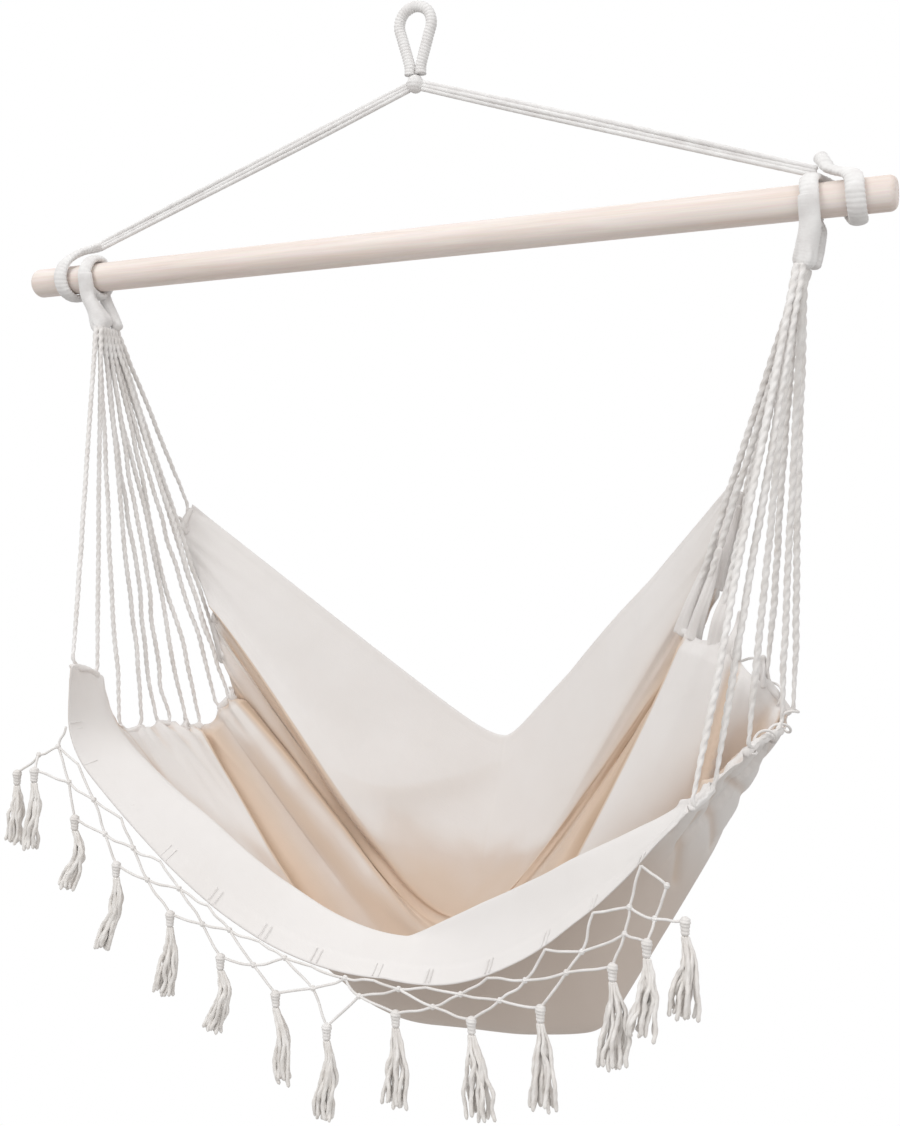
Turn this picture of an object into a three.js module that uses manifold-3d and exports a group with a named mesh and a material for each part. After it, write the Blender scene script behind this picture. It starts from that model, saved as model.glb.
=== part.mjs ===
// A hammock chair that hangs from one rope eye: eye, knot, two bridle ropes, a wooden
// spreader bar with a rope hitch at each end, a neck and a fan of cords under each hitch,
// one sheet of canvas hung between the fans, and a knotted net with tassels along its
// front hem. Millimetres. +X runs along the bar, -Y is the front, +Z is up, and the
// origin is the inside top of the hanging eye.
import * as THREE from "three";
import { mergeVertices } from "three/addons/utils/BufferGeometryUtils.js";
import Module from "manifold-3d";

// Driving dimensions: eye, knot and bridle
const clearance = 0.3;
const eyeRopeDiameter = 12;
const eyeInnerWidth = 26;
const eyeInnerHeight = 50;
const eyeLegLength = 16;
const knotDiameter = 19;
const bridleCordDiameter = 4.8;

// Driving dimensions: spreader bar and hitches
const barLength = 992;
const barShift = 4;
const barDiameter = 33;
const barEndRadius = 7;
const barDrop = 244;
const barOffset = -13;
const hitchRopeWidth = 18;
const hitchRopeDepth = 9;
const wrapClearance = 0.8;

// Driving dimensions: necks and suspension cords
const neckLength = 39;
const neckTopWidth = 20;
const neckTopDepth = 24;
const neckBottomWidth = 26;
const neckBottomDepth = 38;
const cordDiameter = 4;
const cordPitch = 4.7;
const cordGap = 2.4;
const footTilt = 0.5;
const casingStandoff = 2.9;
const edgeNudge = 0.02;
const casingTurn = 7;
const hairpinWidth = 5.2;
const hairpinShare = 0.78;
const casingStopShares = [0.14, 0.5, 0.86];

// Driving dimensions: the sheet as it hangs
const sheetHalfWidth = 340;
const sheetHalfDepth = 140;
const backEdgeDrop = 500;
const seatDepth = 556;
const seatShift = 7;
const sheetThickness = 2.5;
const flapStartShare = 0.84;
const flapRise = 60;

// Driving dimensions: fringe
const netCordDiameter = 2.8;
const netKnotDiameter = 6;
const netRowStep = 3;
const stitchDiameter = 4.2;
const hemStandoff = 2.4;
const tasselLength = 94;
const tasselHeadDiameter = 10;
const tasselSkirtDiameter = 24;

// Where the inner turn of each hitch lies along the bar, and the flat rope of each hitch
// from its upper end to its tucked lower end: turn about the bar in degrees from its top
// towards the front, place along the bar as a share of the rope's width, and distance
// beyond the wound turns as a share of its depth.
const hitchInset = { left: 88, right: 76 };
const hitchPlace = {
  left: barShift - barLength / 2 + hitchInset.left,
  right: barShift + barLength / 2 - hitchInset.right,
};
const leftHitchShares = [
  [0, 0.5, 1.75],
  [0, -0.2, 1.42],
  [8, -0.85, 1.15],
  [25, -1.5, 0.6],
  [50, -1.9, 0.15],
  [90, -2, 0],
  [135, -1.95, 0],
  [180, -1.8, 0],
  [225, -1.45, 0],
  [270, -0.95, 0],
  [315, -0.35, 0],
  [345, 0, 0],
  [375, 0.05, 0],
  [405, 0, 0],
  [450, -0.05, 0],
  [495, 0, 0],
  [540, 0.05, 0],
  [565, 0.05, 0],
];
const rightHitchShares = [
  [-4, 0, 2.1],
  [0, 0.45, 1.4],
  [6, 1.1, 0.95],
  [18, 1.7, 0.5],
  [40, 2.1, 0.15],
  [65, 2.25, 0],
  [90, 2.3, 0],
  [135, 2.35, 0],
  [180, 2.3, 0],
  [225, 2.05, 0],
  [270, 1.5, 0],
  [315, 0.65, 0],
  [345, 0.15, 0],
  [372, 0, 0],
  [405, -0.05, 0],
  [450, 0.05, 0],
  [495, 0, 0],
  [540, 0, 0],
  [565, 0, 0],
];

// Where the bridle's ropes end over the bar, from the inner turn (along as a share of the
// hitch rope's width, outwards as a share of its depth), and the centres of the necks'
// lower ends, as shares of the neck's length from its top (along, forwards).
const bridleEndShares = { left: [0.53, 1.78], right: [-0.3, 1.25] };
const neckFootShares = { left: [0.46, -0.13], right: [-0.21, -0.13] };

// Where the cords meet the sheet's side edges, from the back edge to the front hem.
const landingShares = {
  left: [0.01, 0.067, 0.3, 0.37, 0.5, 0.555, 0.625, 0.66, 0.69, 0.715, 0.745, 0.81, 0.928, 0.99],
  right: [0.02, 0.118, 0.16, 0.22, 0.48, 0.53, 0.575, 0.616, 0.665, 0.706, 0.745, 0.807, 0.9, 0.985],
};

// The sheet, row by row from the back edge to the front hem. Each row: left end, middle
// and right end (shares of half width, half depth and seat depth), then left and right:
// how far its floor stays level, how softly it turns up, and its fold (y, z).
const sheetRowShares = [
  [[-0.99, 0.65, 0.016], [0.15, 1.07, 0.498], [0.99, 0.65, -0.023], [0, 0], [0.07, 0.04], [0, 0], [0, 0]],
  [[-1.01, 0.54, 0.086], [0.13, 0.93, 0.629], [0.97, 0.57, 0.027], [0, 0], [0.14, 0.1], [0, 0], [0, 0]],
  [[-0.96, 0.56, 0.162], [0.11, 0.74, 0.759], [0.96, 0.54, 0.108], [0.02, 0.04], [0.2, 0.16], [0, 0], [0, 0]],
  [[-0.9, 0.57, 0.227], [0.08, 0.59, 0.842], [0.94, 0.51, 0.189], [0.04, 0.06], [0.22, 0.16], [-0.03, 0], [0.03, 0]],
  [[-0.89, 0.58, 0.261], [0.08, 0.57, 0.849], [0.92, 0.51, 0.219], [0.06, 0.08], [0.22, 0.16], [0.1, -0.01], [0.04, 0]],
  [[-0.85, 0.58, 0.342], [0.08, 0.54, 0.863], [0.9, 0.53, 0.245], [0.08, 0.1], [0.2, 0.16], [0.09, -0.01], [0.06, -0.01]],
  [[-0.82, 0.6, 0.41], [0.08, 0.5, 0.881], [0.86, 0.47, 0.263], [0.1, 0.14], [0.18, 0.14], [0.08, -0.01], [0.04, -0.02]],
  [[-0.81, 0.57, 0.432], [0.08, 0.44, 0.899], [0.84, 0.39, 0.27], [0.14, 0.26], [0.16, 0.12], [0, 0], [-0.02, -0.025]],
  [[-0.86, 0.51, 0.464], [0.09, 0.3, 0.935], [0.94, 0.27, 0.281], [0.18, 0.32], [0.18, 0.12], [0.03, -0.01], [-0.04, 0]],
  [[-0.89, 0.34, 0.493], [0.1, 0.13, 0.973], [1.05, 0.23, 0.327], [0.24, 0.38], [0.18, 0.1], [-0.06, 0], [0, 0]],
  [[-0.95, 0.01, 0.478], [0.12, -0.07, 1], [1.15, 0.37, 0.417], [0.28, 0.5], [0.2, 0.05], [0, 0], [0, 0]],
  [[-0.99, -0.27, 0.489], [0.14, -0.34, 0.978], [1.11, -0.27, 0.446], [0.22, 0.38], [0.3, 0.12], [0, 0], [0, 0]],
  [[-1.01, -0.43, 0.462], [0.14, -0.57, 0.885], [1.07, -0.66, 0.482], [0.12, 0.18], [0.5, 0.25], [0, 0], [0, 0]],
  [[-0.92, -0.61, 0.48], [0.13, -0.69, 0.806], [1.03, -0.87, 0.514], [0, 0], [0.5, 0.05], [0, 0], [0, 0]],
  [[-0.99, -0.99, 0.498], [0.13, -0.99, 0.861], [1, -1, 0.534], [0, 0], [1.5, 1.5], [0, -0.013], [0, -0.018]],
];
// The front left corner, lifted by its cords: offsets of the last three rows, as shares
// of the flap's rise.
const flapShares = [[0, 0, 0.25], [-0.5, 0.05, 1.03], [-0.02, 0.02, 1.45]];

// Columns of the sheet's mesh, as shares from the left edge to the middle.
const sheetColumnShares = [0, 0.04, 0.08, 0.13, 0.19, 0.25, 0.31, 0.37, 0.42, 0.46, 0.5];

// Fringe: stitches along the hem, as shares from its left to its right end, then the
// upper knots, the lower knots and the tassels' knots (shares of half width and seat depth).
const stitchShares = [0.06, 0.098, 0.16, 0.215, 0.28, 0.347, 0.413, 0.489, 0.576, 0.681, 0.777, 0.854, 0.93];
const upperKnotShares = [
  [-1.02, 0.497], [-0.88, 0.594], [-0.73, 0.678], [-0.56, 0.744], [-0.38, 0.808], [-0.19, 0.845],
  [0.01, 0.866], [0.18, 0.872], [0.37, 0.866], [0.56, 0.828], [0.72, 0.77], [0.85, 0.69], [0.95, 0.65],
];
const lowerKnotShares = [
  [-1.09, 0.515], [-0.97, 0.563], [-0.83, 0.656], [-0.67, 0.733], [-0.47, 0.802], [-0.29, 0.864],
  [-0.09, 0.89], [0.06, 0.892], [0.29, 0.892], [0.49, 0.865], [0.68, 0.805], [0.84, 0.732], [0.92, 0.703],
];
const tasselShares = [
  [-1.17, 0.552], [-1.07, 0.54], [-0.94, 0.629], [-0.78, 0.709], [-0.58, 0.789], [-0.4, 0.855],
  [-0.21, 0.907], [-0.04, 0.951], [0.18, 0.91], [0.41, 0.902], [0.61, 0.866], [0.81, 0.784],
  [0.91, 0.735], [1, 0.7],
];
const tasselSteps = [0, 4, 0, 0, 0, 0, 0, 0, 0, 0, 0, 0, 3, -1];

// Worked-out places that several pieces share
const barRadius = barDiameter / 2;
const eyeRopeRadius = eyeRopeDiameter / 2;
const cordRadius = cordDiameter / 2;
const knotRadius = knotDiameter / 2;
const eyeBottomZ = -(eyeInnerHeight + eyeLegLength);
const knotZ = eyeBottomZ - clearance - knotRadius;
const wrapDistance = barRadius + wrapClearance + hitchRopeDepth / 2;
const wrapOuterRadius = wrapDistance + hitchRopeDepth / 2;
const neckTopZ = -barDrop - wrapOuterRadius - clearance;
const neckBottomZ = neckTopZ - neckLength;
const neckFoot = {
  left: [hitchPlace.left + neckFootShares.left[0] * neckLength, neckFootShares.left[1] * neckLength],
  right: [hitchPlace.right + neckFootShares.right[0] * neckLength, neckFootShares.right[1] * neckLength],
};

const cloth = (name, colour) =>
  new THREE.MeshStandardMaterial({ name, color: colour, roughness: 0.9, metalness: 0 });
const materials = {
  canvas: cloth("canvas", 0xe6dfd4),
  rope: cloth("rope", 0xe3e1de),
  cord: cloth("cord", 0xe4e0da),
  tassel: cloth("tassel", 0xd9d2cb),
  wood: new THREE.MeshStandardMaterial({ name: "wood", color: 0xe5d3c3, roughness: 0.6, metalness: 0 }),
};

const wasm = await Module();
wasm.setup();

// The bar and all that it carries hang a little to the left of the eye, in balance.
const chair = new THREE.Group();
const hung = new THREE.Group();
hung.position.x = barOffset;
chair.add(hung);

function addMesh(parent, name, geometry, material) {
  const mesh = new THREE.Mesh(geometry, material);
  mesh.name = name;
  parent.add(mesh);
}

const point = (x, y, z) => new THREE.Vector3(x, y, z);

// A geometry from points and triangles, turned so that its faces look outwards.
function solidFrom(points, faces) {
  let volume = 0;
  for (let face = 0; face < faces.length; face += 3) {
    const [a, b, c] = [points[faces[face]], points[faces[face + 1]], points[faces[face + 2]]];
    volume += a.dot(b.clone().cross(c));
  }
  if (volume < 0) {
    faces.reverse();
  }
  const geometry = new THREE.BufferGeometry();
  const positions = points.flatMap((p) => [p.x, p.y, p.z]);
  geometry.setAttribute("position", new THREE.Float32BufferAttribute(positions, 3));
  geometry.setIndex(faces);
  geometry.computeVertexNormals();
  return geometry;
}

// A closed solid through rings of points, listed from one end to the other.
function loft(rings) {
  const sides = rings[0].length;
  const faces = [];
  for (let ring = 0; ring + 1 < rings.length; ring += 1) {
    for (let side = 0; side < sides; side += 1) {
      const a = ring * sides + side;
      const b = ring * sides + ((side + 1) % sides);
      faces.push(a, b, b + sides, a, b + sides, a + sides);
    }
  }
  const last = (rings.length - 1) * sides;
  const count = rings.length * sides;
  for (let side = 0; side < sides; side += 1) {
    const next = (side + 1) % sides;
    faces.push(count, next, side, count + 1, last + side, last + next);
  }
  const middle = (ring) => ring.reduce((sum, p) => sum.add(p), point(0, 0, 0)).divideScalar(sides);
  const caps = [middle(rings[0]), middle(rings[rings.length - 1])];
  return solidFrom([...rings.flat(), ...caps], faces);
}

// An oval ring of points round a centre, level with the ground.
function ovalRing(centre, width, depth, sides) {
  const ring = [];
  for (let side = 0; side < sides; side += 1) {
    const turn = (side / sides) * 2 * Math.PI;
    const x = centre.x + (width / 2) * Math.cos(turn);
    const y = centre.y + (depth / 2) * Math.sin(turn);
    ring.push(point(x, y, centre.z));
  }
  return ring;
}

// A round tube that follows a curve.
function tube(path, radius, sides, steps) {
  const outline = [];
  for (let side = 0; side < sides; side += 1) {
    const turn = (side / sides) * 2 * Math.PI;
    outline.push(new THREE.Vector2(radius * Math.cos(turn), radius * Math.sin(turn)));
  }
  const options = { steps, extrudePath: path, bevelEnabled: false };
  return new THREE.ExtrudeGeometry(new THREE.Shape(outline), options);
}

// A round tube with one ring at each point of a route, square to the route there.
function routeTube(route, radius, sides) {
  const across = point(0, 1, 0);
  const previous = point(0, 0, 0);
  const rings = route.map((place, index) => {
    const before = route[Math.max(index - 1, 0)];
    const after = route[Math.min(index + 1, route.length - 1)];
    const along = after.clone().sub(before).normalize();
    if (index > 0) {
      across.applyQuaternion(new THREE.Quaternion().setFromUnitVectors(previous, along));
    }
    across.addScaledVector(along, -across.dot(along)).normalize();
    previous.copy(along);
    const other = along.clone().cross(across);
    const ring = [];
    for (let side = 0; side < sides; side += 1) {
      const turn = (side / sides) * 2 * Math.PI;
      const out = across.clone().multiplyScalar(radius * Math.cos(turn));
      ring.push(place.clone().add(out).addScaledVector(other, radius * Math.sin(turn)));
    }
    return ring;
  });
  return loft(rings);
}

const smoothPath = (points) => new THREE.CatmullRomCurve3(points, false, "centripetal");

// Booleans: a closed geometry as a solid, and a solid as a geometry.
function toSolid(geometry) {
  const bare = geometry.clone();
  bare.deleteAttribute("normal");
  bare.deleteAttribute("uv");
  const merged = mergeVertices(bare);
  const vertProperties = new Float32Array(merged.attributes.position.array);
  const triVerts = new Uint32Array(merged.index.array);
  return new wasm.Manifold(new wasm.Mesh({ numProp: 3, vertProperties, triVerts }));
}

function toGeometry(solid) {
  const mesh = solid.getMesh();
  const geometry = new THREE.BufferGeometry();
  geometry.setAttribute("position", new THREE.BufferAttribute(mesh.vertProperties, mesh.numProp));
  geometry.setIndex(new THREE.BufferAttribute(mesh.triVerts, 1));
  geometry.computeVertexNormals();
  return geometry;
}

// Hanging eye: one rope up one leg, over the top in a teardrop and down the other leg.
function hangingEye() {
  const outer = eyeInnerWidth / 2 + eyeRopeRadius;
  const legX = eyeRopeRadius + clearance;
  const crown = eyeRopeRadius;
  const half = [
    point(legX, 0, eyeBottomZ),
    point(legX, 0, eyeBottomZ + eyeLegLength / 2),
    point(legX + outer * 0.1, 0, eyeBottomZ + eyeLegLength),
    point(outer * 0.8, 0, -eyeInnerHeight * 0.55),
    point(outer, 0, crown - outer),
    point(outer * 0.72, 0, crown - outer * 0.3),
  ];
  const other = half.map((p) => point(-p.x, p.y, p.z)).reverse();
  return tube(smoothPath([...half, point(0, 0, crown), ...other]), eyeRopeRadius, 10, 32);
}

// Wrapped knot: a ball whose centre is the point that the bridle swings about.
function bridleKnot() {
  const profile = [];
  const steps = 10;
  for (let step = 0; step <= steps; step += 1) {
    const turn = (step / steps) * Math.PI;
    profile.push(new THREE.Vector2(knotRadius * Math.sin(turn), -knotRadius * Math.cos(turn)));
  }
  profile[0].x = 0;
  profile[steps].x = 0;
  const ball = new THREE.LatheGeometry(profile, 14);
  ball.rotateX(Math.PI / 2);
  ball.translate(0, 0, knotZ);
  return ball;
}

// Bridle rope: three parallel cords, one above the other, pressed into one flat bundle.
function bridleRope(side) {
  const pitch = bridleCordDiameter * 0.86;
  const knotCentre = point(0, 0, knotZ);
  const [along, outwards] = bridleEndShares[side];
  const end = point(
    hitchPlace[side] + along * hitchRopeWidth + barOffset,
    0,
    -barDrop + wrapDistance + outwards * hitchRopeDepth,
  );
  const run = end.clone().sub(knotCentre).normalize();
  const up = point(Math.abs(run.z) * Math.sign(run.x), 0, Math.abs(run.x));
  const start = knotCentre.clone().addScaledVector(run, knotRadius + clearance);
  end.addScaledVector(run, -clearance);
  const turn = new THREE.Quaternion().setFromUnitVectors(point(0, 1, 0), run);
  const cords = [-1, 0, 1].map((slot) => {
    const radius = bridleCordDiameter / 2;
    const cord = new THREE.CylinderGeometry(radius, radius, start.distanceTo(end), 10);
    cord.applyQuaternion(turn);
    const centre = start.clone().lerp(end, 0.5).addScaledVector(up, slot * pitch);
    cord.translate(centre.x, centre.y, centre.z);
    return toSolid(cord);
  });
  return toGeometry(wasm.Manifold.union(cords));
}

// Spreader bar: a turned dowel with rounded ends.
function spreaderBar() {
  const half = barLength / 2;
  const profile = [new THREE.Vector2(0, -half)];
  const steps = 4;
  for (let step = 0; step <= steps; step += 1) {
    const turn = (step / steps) * (Math.PI / 2);
    const radius = barRadius - barEndRadius + barEndRadius * Math.sin(turn);
    profile.push(new THREE.Vector2(radius, -half + barEndRadius - barEndRadius * Math.cos(turn)));
  }
  const mirrored = profile.map((p) => new THREE.Vector2(p.x, -p.y)).reverse();
  const bar = new THREE.LatheGeometry([...profile, ...mirrored], 24);
  bar.rotateZ(-Math.PI / 2);
  bar.translate(barShift, 0, -barDrop);
  return bar;
}

// Hitch: one rope wound round the bar along its route, pressed flat against it.
function hitch(side, shares) {
  const points = shares.map(([degrees, along, outwards]) => {
    const turn = THREE.MathUtils.degToRad(degrees);
    const x = hitchPlace[side] + along * hitchRopeWidth;
    const distance = wrapDistance + outwards * hitchRopeDepth;
    return point(x, -distance * Math.sin(turn), -barDrop + distance * Math.cos(turn));
  });
  const path = smoothPath(points);
  const steps = 44;
  const sides = 10;
  const rings = [];
  for (let step = 0; step <= steps; step += 1) {
    const place = path.getPointAt(step / steps);
    const along = path.getTangentAt(step / steps);
    const out = point(0, place.y, place.z + barDrop);
    out.addScaledVector(along, -out.dot(along)).normalize();
    const across = along.clone().cross(out);
    const ring = [];
    for (let corner = 0; corner < sides; corner += 1) {
      const turn = (corner / sides) * 2 * Math.PI;
      const spot = place.clone().addScaledVector(out, (hitchRopeDepth / 2) * Math.cos(turn));
      ring.push(spot.addScaledVector(across, (hitchRopeWidth / 2) * Math.sin(turn)));
    }
    rings.push(ring);
  }
  return loft(rings);
}

// Neck: the bound rope between the hitch and the fan, widening downwards.
function neck(side) {
  const [footX, footY] = neckFoot[side];
  const sections = [0, 0.4, 0.8, 1];
  const rings = sections.map((share) => {
    const centre = point(
      THREE.MathUtils.lerp(hitchPlace[side], footX, share),
      footY * share,
      THREE.MathUtils.lerp(neckTopZ, neckBottomZ, share),
    );
    const width = THREE.MathUtils.lerp(neckTopWidth, neckBottomWidth, share);
    const depth = THREE.MathUtils.lerp(neckTopDepth, neckBottomDepth, share);
    return ovalRing(centre, width, depth, 16);
  });
  return loft(rings);
}

// Curves down the left end, the middle and the right end of the sheet's rows, and the
// values that shape each half of a row.
const rowCurve = (pick) => new THREE.CatmullRomCurve3(sheetRowShares.map(pick), false, "catmullrom", 0.5);
const rowPlace = ([x, y, z]) =>
  point(x * sheetHalfWidth, y * sheetHalfDepth + seatShift, -(backEdgeDrop + z * seatDepth));
const rowCurves = {
  left: rowCurve((row) => rowPlace(row[0])),
  middle: rowCurve((row) => rowPlace(row[1])),
  right: rowCurve((row) => rowPlace(row[2])),
  level: rowCurve((row) => point(row[3][0], row[3][1], 0)),
  turn: rowCurve((row) => point(row[4][0], row[4][1], 0)),
  leftFold: rowCurve((row) => point(0, row[5][0] * sheetHalfDepth, row[5][1] * seatDepth)),
  rightFold: rowCurve((row) => point(0, row[6][0] * sheetHalfDepth, row[6][1] * seatDepth)),
  flap: new THREE.CatmullRomCurve3(
    sheetRowShares.map((row, index) => {
      const lifted = index - (sheetRowShares.length - flapShares.length);
      return lifted < 0 ? point(0, 0, 0) : point(...flapShares[lifted]).multiplyScalar(flapRise);
    }),
    false,
    "catmullrom",
    0.5,
  ),
};

const softStep = (value) => {
  const v = THREE.MathUtils.clamp(value, 0, 1);
  return v * v * (3 - 2 * v);
};

// Rise of a row from its middle (0) to its end (1): level, then a rounded turn upwards.
function ramp(u, level, turn) {
  const side = (v) => Math.sqrt(v * v + turn * turn);
  const both = (v) => side(v - level) + side(v + level);
  return (both(u) - both(0)) / (both(1) - both(0));
}

// A point of the sheet: across from the left end (0) to the right end (1), and down the
// rows from the back edge (0) to the front hem (1).
function sheetPoint(across, down) {
  const isLeft = across < 0.5;
  const middle = rowCurves.middle.getPoint(down);
  const end = (isLeft ? rowCurves.left : rowCurves.right).getPoint(down);
  const fold = (isLeft ? rowCurves.leftFold : rowCurves.rightFold).getPoint(down);
  const pick = (curve) => (isLeft ? curve.getPoint(down).x : curve.getPoint(down).y);
  const turn = Math.max(pick(rowCurves.turn), 0.02);
  const out = Math.abs(2 * across - 1);
  const lift = rowCurves.flap.getPoint(down);
  const rises = isLeft && lift.z > 0;
  const part = rises ? 1 - (1 - flapStartShare) * softStep(lift.z / flapRise) : 1;
  const main = Math.min(out / part, 1);
  const over = rises ? Math.max(out - part, 0) / Math.max(1 - part, 0.001) : 0;
  const rise = ramp(main, pick(rowCurves.level), turn);
  const wave = Math.sin(Math.PI * main);
  const place = point(
    THREE.MathUtils.lerp(middle.x, end.x, main),
    THREE.MathUtils.lerp(middle.y, end.y, (main + rise) / 2),
    THREE.MathUtils.lerp(middle.z, end.z, rise),
  );
  return place.addScaledVector(fold, wave).addScaledVector(lift, over);
}

// A place just outside the sheet's edge: the step inwards is taken back from the edge,
// squarely to it.
function outside(across, down, inwards, by) {
  const place = sheetPoint(across, down);
  const inner = sheetPoint(across + inwards.x, down + inwards.y);
  const alongX = inwards.x === 0 ? edgeNudge : 0;
  const alongY = inwards.x === 0 ? 0 : edgeNudge;
  const before = sheetPoint(Math.max(across - alongX, 0), Math.max(down - alongY, 0));
  const after = sheetPoint(Math.min(across + alongX, 1), Math.min(down + alongY, 1));
  const along = after.sub(before).normalize();
  const out = place.clone().sub(inner);
  out.addScaledVector(along, -out.dot(along)).normalize();
  return place.addScaledVector(out, by);
}

// Hammock cloth: the sheet as a closed shell of even thickness.
function hammockCloth() {
  const mirrored = sheetColumnShares.slice(0, -1).map((share) => 1 - share).reverse();
  const columns = [...sheetColumnShares, ...mirrored];
  const rowCount = 2 * (sheetRowShares.length - 1) + 1;
  const grid = new THREE.BufferGeometry();
  const middles = [];
  const quads = [];
  const wide = columns.length;
  for (let row = 0; row < rowCount; row += 1) {
    for (let column = 0; column < wide; column += 1) {
      middles.push(sheetPoint(columns[column], row / (rowCount - 1)));
      if (row > 0 && column > 0) {
        const corner = row * wide + column;
        quads.push([corner, corner - 1, corner - wide - 1, corner - wide]);
      }
    }
  }
  const faces = quads.flatMap(([a, b, c, d]) => [a, b, c, a, c, d]);
  grid.setAttribute("position", new THREE.Float32BufferAttribute(middles.flatMap((p) => p.toArray()), 3));
  grid.setIndex(faces);
  grid.computeVertexNormals();
  const normal = grid.attributes.normal;
  const offset = (p, index, by) =>
    p.clone().add(point(normal.getX(index), normal.getY(index), normal.getZ(index)).multiplyScalar(by));
  const count = middles.length;
  const top = middles.map((p, index) => offset(p, index, sheetThickness / 2));
  const bottom = middles.map((p, index) => offset(p, index, -sheetThickness / 2));
  const underside = [...faces].reverse().map((index) => index + count);
  const rim = [];
  for (let column = 0; column < wide; column += 1) rim.push(column);
  for (let row = 1; row < rowCount; row += 1) rim.push(row * wide + wide - 1);
  for (let column = wide - 2; column >= 0; column -= 1) rim.push((rowCount - 1) * wide + column);
  for (let row = rowCount - 2; row > 0; row -= 1) rim.push(row * wide);
  const edge = rim.flatMap((a, index) => {
    const b = rim[(index + 1) % rim.length];
    return [b, a, a + count, b, a + count, b + count];
  });
  return solidFrom([...top, ...bottom], [...faces, ...underside, ...edge]);
}

// Suspension cord: from the neck down to one place on the casing, along it to the next
// place and back up to the neck.
function suspensionCord(side, index) {
  const across = side === "left" ? 0 : 1;
  const [footX, footY] = neckFoot[side];
  const count = landingShares[side].length;
  const footZ = neckBottomZ - clearance - cordRadius * footTilt;
  const nudge = side === "left" ? edgeNudge : -edgeNudge;
  const foot = (slot) => {
    const column = slot % 2 === 0 ? 1 : -1;
    const row = (count - 1) / 2 - slot;
    return point(footX + (column * cordPitch) / 2, footY + row * cordGap, footZ);
  };
  const landing = (share) => outside(across, share, point(nudge, 0, 0), casingStandoff);
  const [first, second] = [2 * index, 2 * index + 1];
  const [down, up] = [landingShares[side][first], landingShares[side][second]];
  // The two legs take the footholds that keep them clear of each other.
  const lean = (share) => {
    const reach = landing(share).sub(foot(first));
    return reach.divideScalar(-reach.z);
  };
  const inOrder = lean(down).sub(lean(up)).dot(foot(first).sub(foot(second))) > 0;
  const [start, end] = inOrder ? [foot(first), foot(second)] : [foot(second), foot(first)];
  const casing = casingStopShares.map((share) => landing(THREE.MathUtils.lerp(down, up, share)));
  // From an end of the casing towards a foothold: straight, or round a half turn beside
  // the casing where the cord runs back along it.
  const leg = (place, inner, share, foothold) => {
    const along = place.clone().sub(inner).normalize();
    const back = -foothold.clone().sub(place).normalize().dot(along);
    const corner = landing(share);
    const rise = (from) => from.clone().lerp(foothold, casingTurn / from.distanceTo(foothold));
    if (back < hairpinShare) {
      return [rise(corner)];
    }
    const out = outside(across, share, point(nudge, 0, 0), 2 * casingStandoff).sub(corner).normalize();
    const beside = place.clone().addScaledVector(out, hairpinWidth);
    const tip = place.clone().lerp(beside, 0.5).addScaledVector(along, hairpinWidth / 2);
    return [tip, beside, rise(beside)];
  };
  const falling = leg(casing[0], casing[1], down, start).reverse();
  const rising = leg(casing[casing.length - 1], casing[casing.length - 2], up, end);
  return routeTube([start, ...falling, ...casing, ...rising, end], cordRadius, 6);
}

// Fringe: stitches along the hem, two rows of net knots, and the tassels' knots.
const hemStitches = stitchShares.map((share) => outside(share, 1, point(0, -edgeNudge, 0), hemStandoff));
const netKnots = (shares, row) =>
  shares.map(([x, z]) => {
    const place = rowPlace([x, -1, z]);
    place.y -= hemStandoff + row * netRowStep;
    return place;
  });
const upperKnots = netKnots(upperKnotShares, 0);
const lowerKnots = netKnots(lowerKnotShares, 1);
const tasselKnots = netKnots(tasselShares, 2);
tasselKnots.forEach((knot, index) => {
  knot.y -= tasselSteps[index] * netRowStep;
});

function fringeNet() {
  const netRadius = netCordDiameter / 2;
  const cords = [];
  upperKnots.forEach((knot, index) => {
    cords.push([hemStitches[index], knot]);
    if (index + 1 < hemStitches.length) {
      cords.push([hemStitches[index + 1], knot]);
    }
    cords.push([knot, lowerKnots[index]]);
    if (index + 1 < lowerKnots.length) {
      cords.push([knot, lowerKnots[index + 1]]);
    }
  });
  lowerKnots.forEach((knot, index) => {
    cords.push([knot, tasselKnots[index]], [knot, tasselKnots[index + 1]]);
  });
  const cordSolids = cords.map(([from, to]) => {
    const length = from.distanceTo(to);
    const rod = new THREE.CylinderGeometry(netRadius, netRadius, length, 4);
    const along = to.clone().sub(from).normalize();
    rod.applyQuaternion(new THREE.Quaternion().setFromUnitVectors(point(0, 1, 0), along));
    const centre = from.clone().lerp(to, 0.5);
    rod.translate(centre.x, centre.y, centre.z);
    return toSolid(rod);
  });
  const balls = (places, diameter) =>
    places.map((place) => {
      const ball = new THREE.OctahedronGeometry(diameter / 2, 0);
      ball.translate(place.x, place.y, place.z);
      return toSolid(ball);
    });
  const knots = balls([...upperKnots, ...lowerKnots, ...tasselKnots], netKnotDiameter);
  const stitches = balls(hemStitches, stitchDiameter);
  return toGeometry(wasm.Manifold.union([...cordSolids, ...knots, ...stitches]));
}

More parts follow.
